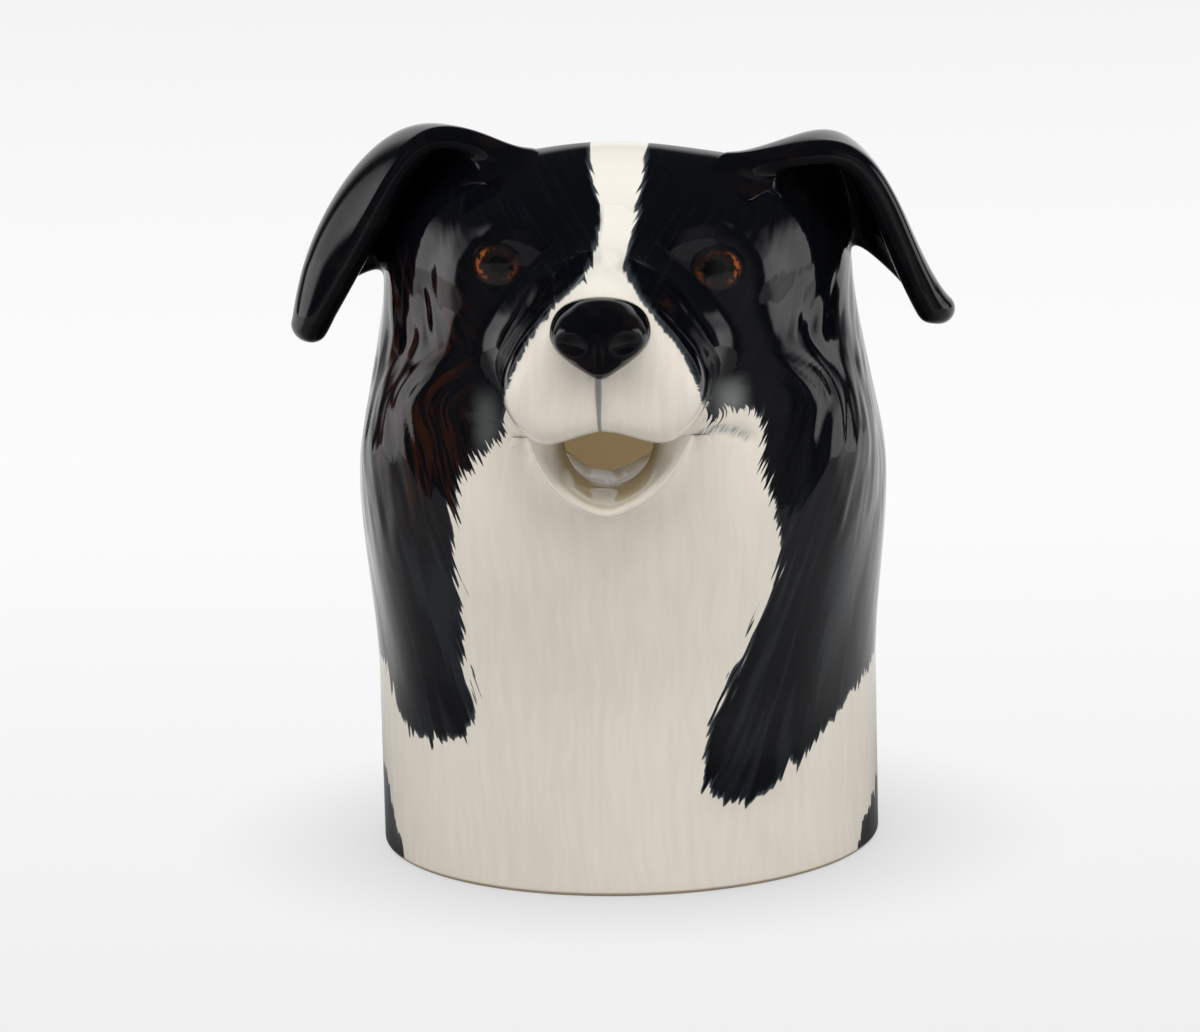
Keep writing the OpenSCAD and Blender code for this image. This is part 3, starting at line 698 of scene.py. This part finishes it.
def make_muzzle():
    a = np.linspace(0, 2 * math.pi, 181)[:-1]
    rings = []
    for q in np.radians(np.linspace(0, 90, 61)):
        u, dz = ring_at(muzzle_level, a, np.sin(q) ** 0.5)
        out = seat(u, MUZZLE_Z + dz) + muzzle_rise(dz) * np.cos(q) ** 0.5
        rings.append(points(u, -out, MUZZLE_Z + dz))
    # A skirt runs out over the face, widest beside the bridge, and there is none under the lips
    high = np.sin(a)
    width = mix(0.6, 0.9, ease(high / 0.5)) - 0.5 * ease((high - 0.75) / 0.25)
    width *= ease((high + 0.8) / 0.5)
    for share in np.linspace(0.02, 1, 24):
        u, dz = ring_at(muzzle_level, a, 1 + share * width)
        rings.append(points(u, -seat(u, MUZZLE_Z + dz), MUZZLE_Z + dz))
    form = to_gap(muzzle_form)
    # The pouring way stops behind the lip, which is left 7 mm thick
    lip_back = float(muzzle_front(np.array(0.0), np.array(MUZZLE_Z - MUZZLE_DOWN / 2))) - 7.0

    def gap(p):
        # The bridge runs softly into the brow, the lips stand off the cheeks, and the skirt ends on the skin
        level = muzzle_level(p[..., 0], p[..., 2] - MUZZLE_Z)
        fillet = mix(2.4, 20.0, ease((p[..., 2] - 105) / 17))
        fillet *= 1 - 0.98 * ease((level - 1.1) / 0.8)
        blended = soft_min(body_gap(p), form(p), fillet)
        return soft_max(blended, -spout_gap(p, lip_back), 3.0)

    rings = settle(np.array(rings), gap)
    for _ in range(2):
        rings = settle(evened(rings, 104), gap, 4)
    # The skirt ends just under the skin of the body
    for ring, sink in ((-3, 0.02), (-2, 0.06), (-1, 0.4)):
        rings[ring] = rings[ring] + sink * np.array((0, 1, 0))
    middle = np.broadcast_to(points(0.0, -46.0, MUZZLE_Z), rings[-1].shape)
    under = [onto_body(mix(rings[-1], middle, share), -2.0) for share in (0.05, 0.3, 0.55, 0.8, 1)]
    rings = np.concatenate([rings, under])
    paint_coat(finish_piece("muzzle_piece", wrapped(rings), "muzzle", COAT))


# Lower lip: a rim that hangs round the spout, its outside run into the chest and its inside a trough

LIP_RIM = np.array([  # side, height, reach in front of the skin
    (17.4, 99.5, 0.6), (15.8, 97.0, 4.0), (13.2, 93.4, 8.0), (9.8, 90.3, 11.0), (6.0, 88.0, 13.0),
    (0.0, 86.3, 14.0), (-6.0, 88.2, 13.0), (-9.6, 90.3, 11.0), (-12.6, 92.8, 8.0), (-15.6, 96.8, 4.0),
    (-17.2, 99.5, 0.6)])
LIP_BACK_Y = -49.0


def curve_through(knots, count):
    """Points on a smooth curve through knots, evenly spaced along its parameter."""
    k = np.asarray(knots, float)
    k = np.concatenate([[2 * k[0] - k[1]], k, [2 * k[-1] - k[-2]]])
    t = np.linspace(0, len(k) - 3, count)
    i = np.minimum(t.astype(int), len(k) - 4)
    f = (t - i)[:, None]
    a, b, c, d = k[i], k[i + 1], k[i + 2], k[i + 3]
    bend, twist = 2 * a - 5 * b + 4 * c - d, 3 * b - a - 3 * c + d
    return 0.5 * (2 * b + (c - a) * f + bend * f ** 2 + twist * f ** 3)


def make_lower_lip():
    sections = []
    for x, z, reach in curve_through(LIP_RIM, 97):
        away = np.array((x, z - SPOUT_Z))
        width = np.linalg.norm(away)
        away = away / width
        inset = width - SPOUT_R + 0.6
        # Across the rim: distance out from it, and share of its reach
        knots = [(8.5, 0.0), (6.0, 0.005), (3.4, 0.07), (1.5, 0.35), (0.75, 0.7), (0.2, 0.95), (-0.8, 1.0),
                 (-1.7, 0.9), (mix(-1.7, -inset, 0.5), 0.5), (-inset, 0.06), (-inset, -0.25)]
        line = curve_through(knots, 44)
        line[:, 0] *= np.where(line[:, 0] > 0, min(1, 0.35 + reach / 10), 1)
        u, h = x + away[0] * line[:, 0], z + away[1] * line[:, 0]
        out = seat(u, h) + reach * line[:, 1]
        # The outer edge ends under the skin of the chest
        out[0] -= 0.3
        back = points(u[[-1, 0]], LIP_BACK_Y, h[[-1, 0]])
        sections.append(np.concatenate([points(u, -out, h), back]))
    sections = np.array(sections)
    ends = [np.broadcast_to(s.mean(0), s.shape) for s in (sections[0], sections[-1])]
    skin = wrapped(np.concatenate([[ends[0]], sections, [ends[1]]]))
    piece = finish_piece("pouring_lip", skin, "lower_lip", COAT)

    def pooled_and_shaded(p):
        """Where the glaze ran together in the trough, with painted shade near the spout hole."""
        return 0.9 * (1 - ease((np.hypot(p[:, 0], p[:, 2] - SPOUT_Z) - SPOUT_R + 0.3) / 2.6))

    paint_coat(piece, pool_and_shade=pooled_and_shaded)


# Nose: a pad with two nostrils and a groove below them

NOSE_Z, NOSE_W, NOSE_UP, NOSE_DOWN = 125.6, 21.0, 7.8, 9.3
NOSE_RISE, NOSE_SINK, NOSE_BACK_Y = 5.6, 1.5, -60.0


def nose_level(u, dz):
    half_w = NOSE_W / 2 * mix(1, 0.3, np.clip(-dz / NOSE_DOWN, 0, 1) ** 1.8)
    return oval(u, dz, half_w, np.where(dz > 0, NOSE_UP, NOSE_DOWN), 2.15)


def make_nose():
    def lift(u, dz, level):
        out = NOSE_RISE * swell(level, 1.1)
        for side in (-1, 1):
            far = np.hypot((u - side * 5.7) / 3.4, (dz + 1.6 - 0.12 * np.abs(u)) / 2.5)
            out = out - 1.1 * bell(far) + 0.35 * bell((far - 1.15) / 0.6)
        return out - 0.5 * bell(u / 1.6) * ease((1 - dz) / 6)

    a = np.linspace(0, 2 * math.pi, 113)[:-1]
    rings = []
    for level in np.sin(np.radians(np.linspace(0, 90, 49))) ** 0.5:
        u, dz = ring_at(nose_level, a, level)
        rings.append(points(u, -(muzzle_front(u, NOSE_Z + dz) + lift(u, dz, level)), NOSE_Z + dz))
    # The edge runs on under the skin of the muzzle, and the back closes to a point
    rings.append(points(u, NOSE_SINK - muzzle_front(u, NOSE_Z + dz), NOSE_Z + dz))
    rings.append(np.broadcast_to(points(0.0, NOSE_BACK_Y, NOSE_Z), rings[-1].shape))
    finish_piece("nose_pad", wrapped(np.array(rings)), "nose", BLACK)


EYE_HALF_W, EYE_HALF_H = 5.25, 4.05
EYE_SKIN_R = 48.0  # from the jug's axis to the face at the eyes
EYE_RISE, EYE_SINK = 0.9, -1.2


def make_eye(name, node, heading, z):
    """A low painted pellet, smoothed into the face at its edge."""
    a = np.linspace(0, 2 * math.pi, 65)[:-1]
    rings = []
    for level in np.linspace(0, 1.3, 30):
        turn = np.degrees(level * EYE_HALF_W * np.cos(a) / EYE_SKIN_R)
        up = z + level * EYE_HALF_H * np.sin(a)
        lift = EYE_RISE * bell(level / 1.25) + 0.03 - 0.08 * ease((level - 1.05) / 0.25)
        rings.append(onto_body(around(heading + turn, outer_r(heading + turn, up), up), lift))
    rings.append(onto_body(rings[-1], EYE_SINK))
    rings.append(np.broadcast_to(onto_body(rings[0], EYE_SINK), rings[0].shape))
    piece = finish_piece(name, wrapped(np.array(rings)), node, IRIS)
    p = places(piece)
    mark(piece, "eye_out", np.radians(heading_of(p) - heading) * EYE_SKIN_R / EYE_HALF_W * np.sign(heading))
    mark(piece, "eye_up", (p[:, 2] - z) / EYE_HALF_H)


# Ears: a cupped leaf between a front edge, a spine and a lower edge that meet at the tip

EAR_SIZE, EAR_FOOT_Z = np.array((71.0, -28.0, 44.0)), 117.0
EAR_ROOT_SINK = -2.2
ROOT_THICK, TIP_THICK = 2.4, 3.3  # half the thickness of a flap
LEAF_START = -0.2  # how far a leaf runs on before its root, as a share of its length
EAR_ROWS = 84
LEFT_EAR = [  # each edge: its root as heading and quarter turn on the crown, then shares of the ear's size
    ((38, 70), (.73, 1, .81), (.732, .93, 1.15), (.926, .57, .08)),
    ((72, 64), (.732, .29, 1.17), (.765, .14, .48), (.986, .43, .05)),
    ((87, 9), (.678, .02, .448), (.8, .08, .31), (.979, .3, .05)),
]
RIGHT_EAR = [
    ((31, 76), (.653, 1, 1.18), (.542, .93, .828), (.898, .57, .028)),
    ((72, 64), (.56, .29, 1.18), (.928, .14, .6), (.949, .43, .01)),
    ((87, 9), (.58, .02, .31), (.875, .08, .26), (.958, .3, .04)),
]


def make_ear(name, node, shares, side):
    edges = []
    for root, *line in shares:
        start = crown_point(np.array(root[0]), np.array(root[1]), EAR_ROOT_SINK)
        edges.append(np.vstack([start, np.array(line) * EAR_SIZE + (0, 0, EAR_FOOT_Z)]))

    def rails(s):
        # Before its root the leaf runs on, and dives under the skin of the crown
        s = np.asarray(s)[..., None]
        before, s = np.minimum(s, 0), np.maximum(s, 0)
        dive = before * 3 * (edges[0][1] - edges[0][0]) - before ** 2 * np.array((0, 0, 300.0))
        weights = (1 - s) ** 3, 3 * s * (1 - s) ** 2, 3 * s * s * (1 - s), s ** 3
        f, m, l = [sum(w * p for w, p in zip(weights, edge)) + dive for edge in edges]
        # The spine lies at its own share of the way across
        near, far = [np.linalg.norm(m - e, axis=-1, keepdims=True) for e in (f, l)]
        at = np.clip(near / (near + far), 0.3, 0.7)
        return f, (m - (1 - at) ** 2 * f - at ** 2 * l) / (2 * at * (1 - at)), l

    def leaf(s, t):
        s, t = np.broadcast_arrays(s, t)
        f, pull, l = rails(s)
        t = t[..., None]
        return (1 - t) ** 2 * f + 2 * t * (1 - t) * pull + t * t * l

    def half_thick(s):
        return mix(ROOT_THICK, TIP_THICK, np.maximum(s, 0))

    def margins(s):
        """The sheet inside the flap stops short of both edges by half the thickness, so the edges are round."""
        f, pull, l = rails(s)
        low = half_thick(s) / np.linalg.norm(2 * (pull - f), axis=-1)
        high = 1 - half_thick(s) / np.linalg.norm(2 * (l - pull), axis=-1)
        return np.minimum(low, 0.49), np.maximum(high, 0.51)

    def flap_gap(p, s, t):
        """Distance from the flap's skin, by the nearest place on the sheet inside it."""
        d = 1e-3
        for _ in range(5):
            here = leaf(s, t)
            ds, dt = (leaf(s + d, t) - here) / d, (leaf(s, t + d) - here) / d
            aa, ab, bb = (ds * ds).sum(-1), (ds * dt).sum(-1), (dt * dt).sum(-1)
            da, db = (ds * (p - here)).sum(-1), (dt * (p - here)).sum(-1)
            low, high = margins(s)
            held = ((t <= low) & (db < 0)) | ((t >= high) & (db > 0))
            both = (bb * da - ab * db) / np.maximum(aa * bb - ab * ab, 1e-3 * aa * bb)
            step = np.where(held, da / aa, both)
            new_s = np.clip(s + np.clip(step, -0.12, 0.12), LEAF_START, 1)
            low, high = margins(new_s)
            t = np.clip(t + np.clip((db - ab * (new_s - s)) / bb, -0.15, 0.15), low, high)
            s = new_s
        return np.linalg.norm(p - leaf(s, t), axis=-1) - half_thick(s)

    turn = np.linspace(0, 2 * math.pi, 97)[:-1]
    t = 0.5 - 0.5 * np.cos(turn)
    face = np.where(np.sin(turn) >= 0, 1.0, -1.0)

    def flap_at(s):
        """A first ring of the flap, which is then drawn onto its skin."""
        d = 0.01
        along = leaf(np.minimum(s + d, 1), t) - leaf(s - d, t)
        n = np.cross(along, leaf(s, t + d) - leaf(s, t - d))
        n = n / np.linalg.norm(n, axis=-1, keepdims=True)
        return leaf(s, t) + (face * half_thick(s) * np.sqrt(np.abs(np.sin(turn))))[..., None] * n

    # Each line along the flap starts where it leaves the head
    trial = np.linspace(LEAF_START, 0.5, 141)
    buried = np.array([body_gap(flap_at(s + 0 * t)) for s in trial]) < 0
    start = np.array([trial[np.nonzero(b)[0][-1]] if b.any() else LEAF_START for b in buried.T])
    start = np.convolve(np.concatenate([start[-4:], start, start[:4]]), np.ones(9) / 9, "valid")
    s_rows = np.linspace(0, 1, 60)
    flap = np.array([flap_at(mix(start, 1, s)) for s in s_rows])
    flap = flap + (1 - ease(s_rows / 0.25))[:, None, None] * (onto_body(flap[0]) - flap[0])
    out = np.cross(np.roll(flap, -1, 1) - np.roll(flap, 1, 1), np.gradient(flap, axis=0))
    out = out / np.maximum(np.linalg.norm(out, axis=-1, keepdims=True), 1e-9)
    if ((flap[20] - flap[20].mean(0)) * out[20]).sum() < 0:
        out = -out
    # The flap grows out of the head: a wide fillet in front, a narrow one behind it at the rim
    reach = np.where(face > 0, mix(2.2, 5.0, ease(t / 0.4)), 8.0)
    reach = mix(reach, np.where(t < 0.5, 5.0, 4.0), bell(np.minimum(t, 1 - t) / 0.1))
    skirt = np.linspace(1.3, 0.1, 12)
    length = reach + np.where(t < 0.5, 6.0, 0.0) * bell(t / 0.1)
    seeds = np.array([onto_body(flap[0] + out[0] * (length * d)[:, None]) for d in skirt])
    tip = flap[-1]
    ahead = leaf(1.0, 0.5) - leaf(0.97, 0.5)
    ahead = ahead / np.linalg.norm(ahead)
    cap = np.array([tip.mean(0) + (tip - tip.mean(0)) * np.cos(a) + ahead * TIP_THICK * np.sin(a)
                    for a in np.radians([12, 25, 38, 50, 62, 74, 84])])
    rows = np.concatenate([seeds, flap, cap])
    s_of = np.concatenate([np.zeros(len(seeds)), s_rows, np.ones(len(cap))])[:, None]
    fillets = reach * (1 - 0.9 * ease((s_of - 0.35) / 0.3))
    rows = np.concatenate([rows, points(mix(start, 1, s_of), t, fillets)], -1)

    def drawn(rows, steps):
        """Rows of place, share along, share across and fillet, with the place drawn onto the skin."""
        s, t, fillet = rows[..., 3], rows[..., 4], rows[..., 5]

        def gap(p):
            return soft_min(flap_gap(p, s, t), body_gap(p), 1.25 * fillet)

        return np.concatenate([settle(rows[..., :3], gap, steps, 2.0), rows[..., 3:]], -1)

    rows = evened(drawn(rows, 8), EAR_ROWS)
    loose = 0.5 * (1 - ease((np.linspace(0, 1, EAR_ROWS)[1:-1] - 0.3) / 0.15))[:, None, None]
    for _ in range(16):
        # The net is evened out where the flap meets the head
        even = (np.roll(rows, 1, 1) + np.roll(rows, -1, 1))[1:-1] / 4 + (rows[2:] + rows[:-2]) / 4
        rows[1:-1] = mix(rows[1:-1], even, loose)
    rows = drawn(rows, 6)[..., :3]
    for ring, sink in ((0, -0.4), (1, -0.06), (2, -0.02)):
        rows[ring] = onto_body(rows[ring], sink)
    centre = (rows[0] + rows[0][(-np.arange(len(turn))) % len(turn)]) / 2
    root = [onto_body(centre, -2.0), onto_body(mix(rows[0], centre, 0.3), -1.5)]
    end = np.broadcast_to(rows[-1].mean(0), rows[-1].shape)
    rows = np.concatenate([root, rows, [end]])
    finish_piece(name, wrapped(rows * np.array((side, 1, 1))), node, BLACK)


# Handle: a strap that leaves the wall square, loops back and joins it again below

HANDLE_TOP_Z, HANDLE_LOW_Z, HANDLE_REACH = 120.0, 46.0, 36.0
STRAP_HALF_W, STRAP_HALF_T = 8.5, 5.5
FLARE, FLARE_LENGTH = 5.0, 9.0  # where the strap spreads onto the wall


def make_handle():
    top_z, low_z = HANDLE_TOP_Z, HANDLE_LOW_Z
    middle_z, half_h = (top_z + low_z) / 2, (top_z - low_z) / 2
    wall_y = float(outer_r(np.array(180.0), np.array(middle_z)))

    def line(s):
        bow = np.maximum(0, np.sin(math.pi * s)) ** 0.6
        root_y = outer_r(np.array(180.0), np.where(s < 0.5, top_z, low_z))
        return points(0 * s, mix(root_y, wall_y + HANDLE_REACH, bow),
                      middle_z + half_h * np.cos(math.pi * s) * (1 + 0.12 * bow))

    a = np.linspace(0, 2 * math.pi, 49)[:-1]
    rows = []
    steps = (1 - np.cos(np.linspace(0, math.pi, 90))) / 2
    for s in steps:
        d = line(np.array(min(s + 0.01, 1))) - line(np.array(max(s - 0.01, 0)))
        across = np.array((0, -d[2], d[1])) / np.linalg.norm(d)
        c = line(np.array(s))
        away = min(np.linalg.norm(c - line(np.array(0.0))), np.linalg.norm(c - line(np.array(1.0))))
        near = max(0, 1 - away / FLARE_LENGTH)
        flare = FLARE * (1 - math.sqrt(1 - near ** 2))
        p = c + points((STRAP_HALF_W + flare) * np.cos(a), 0, 0)
        p = p + ((STRAP_HALF_T + flare) * np.sin(a))[:, None] * across
        rows.append(p + near ** 2 * (onto_body(p, -0.2) - p))
    for end, row in ((0, rows[0]), (len(rows) + 1, rows[-1])):
        rows.insert(end, np.broadcast_to(onto_body(row.mean(0, keepdims=True), -2.0), row.shape))
    finish_piece("strap_handle", wrapped(np.array(rows)), "handle", BLACK)


make_body()
make_muzzle()
make_lower_lip()
make_nose()
make_eye("left_eye_pellet", "left_eye", 29.0, 133.7)
make_eye("right_eye_pellet", "right_eye", -29.0, 135.3)
make_ear("left_ear_leaf", "left_ear", LEFT_EAR, 1)
make_ear("right_ear_leaf", "right_ear", RIGHT_EAR, -1)
make_handle()
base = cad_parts["base_slab"]
base.data.materials.clear()
base.data.materials.append(SHADED_CREAM)


# Studio: a pale floor, a surround of white panels and soft lamps

FLOOR_HALF = 3.0
SURROUND_LEVEL, BACKDROP_LEVEL = 0.035, 0.93
PANEL_EDGE = 0.12  # radians over which a panel fades at its top and foot
PANELS = [  # middle heading, half width, softness, low and high in degrees, strength
    (100, 14, 4, -16, 15, 1.4), (-103, 15, 4, -16, 15, 1.4), (180, 45, 10, -30, 34, 0.9),
    (48, 16, 14, -40, 16, 0.16), (-48, 13, 13, -40, 16, 0.05)]
LAMPS = [  # name, place, width and height in metres, watts
    ("left_softbox", (-1.45, -0.85, 0.7), (1.0, 1.4), 14.4),
    ("right_softbox", (1.45, -0.85, 0.7), (1.0, 1.4), 16.4),
    ("top_softbox", (0.0, -0.5, 1.6), (1.8, 1.4), 28.5)]
LAMP_TARGET = Vector((0, 0, 0.08))


def pale_paper(name):
    """Matt studio paper: pale grey, with a soft shade round the foot of the jug."""
    paper, tree = empty_material(name)
    side, back, _ = add(tree, "SeparateXYZ", add(tree, "TexCoord", out="Object")).node.outputs
    sheet = add(tree, "BsdfDiffuse", "#cfcfd0")
    # The camera sees the paper as a white tent lights it: even, and shaded within 45 mm of the foot
    level = add(tree, "Math", add(tree, "MapRange", back, -0.2, 0.35, 0.86, 0.97),
                add(tree, "MapRange", back, -0.25, -1.2, 0.86, 0.93), **LARGER)
    open_sky = add(tree, "AmbientOcclusion", {"Distance": 45 * MM}, samples=16, out="AO")
    for value, span in ((back, (0.5, 2.2, 1.0, 0.89)), (open_sky, (0.4, 1.0, 0.72, 1.0))):
        level = add(tree, "Math", level, add(tree, "MapRange", value, *span), **TIMES)
    white = add(tree, "Emission", "#ffffff", level)
    both = add(tree, "MixShader", add(tree, "LightPath", out="Is Camera Ray"), sheet, white)
    # In the gloss of the jug the table is dark in front, dim at both sides and bright behind
    dim = add(tree, "Math", add(tree, "MapRange", side, 0.03, 0.25, 0.07, 0.36, **SOFT),
              add(tree, "MapRange", side, -0.05, -0.25, 0.0, 0.2, **SOFT), **PLUS)
    behind = add(tree, "MapRange", back, -0.05, 0.25, **SOFT)
    mirrored = add(tree, "Emission", "#ffffff", add(tree, "Mix", {0: behind, 2: dim, 3: 0.9}))
    # The gloss sees past the paper 0.45 m in front of the jug
    past = add(tree, "Math", back, -0.45, operation="LESS_THAN")
    mirrored = add(tree, "MixShader", past, mirrored, add(tree, "BsdfTransparent"))
    add(tree, "OutputMaterial", add(tree, "MixShader", add(tree, "LightPath", out="Is Glossy Ray"), both, mirrored))
    return paper


def make_floor():
    skin = bmesh.new()
    bmesh.ops.create_grid(skin, x_segments=2, y_segments=2, size=FLOOR_HALF)
    floor = new_object("studio_floor", skin, pale_paper("pale_paper"))


def make_surround():
    """A dim room with white panels, and an even white backdrop for the camera."""
    world = bpy.data.worlds.new("studio_surround")
    bpy.context.scene.world = world
    world.use_nodes = True
    tree = world.node_tree
    tree.nodes.clear()
    side, back, up = add(tree, "SeparateXYZ", add(tree, "TexCoord", out="Generated")).node.outputs
    turn = add(tree, "Math", side, add(tree, "Math", back, -1.0, **TIMES), operation="ARCTAN2")
    rise = add(tree, "Math", up, operation="ARCSINE")
    light = SURROUND_LEVEL
    for middle, half, soft, low, high, strength in PANELS:
        off = add(tree, "Math", turn, -math.radians(middle), **PLUS)
        off = add(tree, "Math", off, math.pi, -math.pi, operation="WRAP")
        inner, outer = math.radians(half - soft), math.radians(half + soft)
        wide = add(tree, "MapRange", add(tree, "Math", off, **SIZE), inner, outer, strength, 0.0, **SOFT)
        off = add(tree, "Math", rise, -math.radians((low + high) / 2), **PLUS)
        reach = math.radians((high - low) / 2)
        inner, outer = reach - PANEL_EDGE, reach + PANEL_EDGE
        tall = add(tree, "MapRange", add(tree, "Math", off, **SIZE), inner, outer, 1.0, 0.0, **SOFT)
        light = add(tree, "Math", light, add(tree, "Math", wide, tall, **TIMES), **PLUS)
    seen = add(tree, "LightPath", out="Is Camera Ray")
    strength = add(tree, "Mix", {0: seen, 2: light, 3: BACKDROP_LEVEL})
    add(tree, "OutputWorld", add(tree, "Background", "#ffffff", strength))


def make_lamps():
    for name, place, (width, height), power in LAMPS:
        data = bpy.data.lights.new(name, "AREA")
        data.shape, data.size, data.size_y, data.energy = "RECTANGLE", width, height, power
        lamp = bpy.data.objects.new(name, data)
        bpy.context.scene.collection.objects.link(lamp)
        lamp.location = place
        lamp.rotation_euler = (LAMP_TARGET - Vector(place)).to_track_quat("-Z", "Y").to_euler()
        # In the gloss, the panels of the surround stand for the lamps
        lamp.visible_glossy = False


# Camera: fitted to the photograph, whose frame is 1200 pixels wide

FRAME_PIXELS, FOCAL_PIXELS, SHIFT_PIXELS = 1200, 5554.8, (-23.9, -14.7)
SENSOR_MM = 36.0
CAMERA_HEADING, CAMERA_REACH, CAMERA_Z, CAMERA_ROLL = 3.2, 1200, 326.3, 1.4
LOOK_Z = 75


def make_camera():
    data = bpy.data.cameras.new("photo_camera")
    data.sensor_fit, data.sensor_width = "HORIZONTAL", SENSOR_MM
    data.lens = SENSOR_MM * FOCAL_PIXELS / FRAME_PIXELS
    data.shift_x, data.shift_y = [shift / FRAME_PIXELS for shift in SHIFT_PIXELS]
    data.clip_end = 50
    camera = bpy.data.objects.new("photo_camera", data)
    bpy.context.scene.collection.objects.link(camera)
    place = Vector(around(CAMERA_HEADING, CAMERA_REACH, CAMERA_Z)) * MM
    look = (Vector((0, 0, LOOK_Z)) * MM - place).normalized()
    right = look.cross(Vector((0, 0, 1))).normalized()
    up = right.cross(look)
    c, s = math.cos(math.radians(CAMERA_ROLL)), math.sin(math.radians(CAMERA_ROLL))
    turn = Matrix((right * c - up * s, right * s + up * c, -look)).transposed()
    camera.matrix_world = Matrix.Translation(place) @ turn.to_4x4()
    bpy.context.scene.camera = camera


make_camera()
make_floor()
make_surround()
make_lamps()
bpy.context.scene.view_settings.view_transform = "Standard"

bpy.context.view_layer.update()
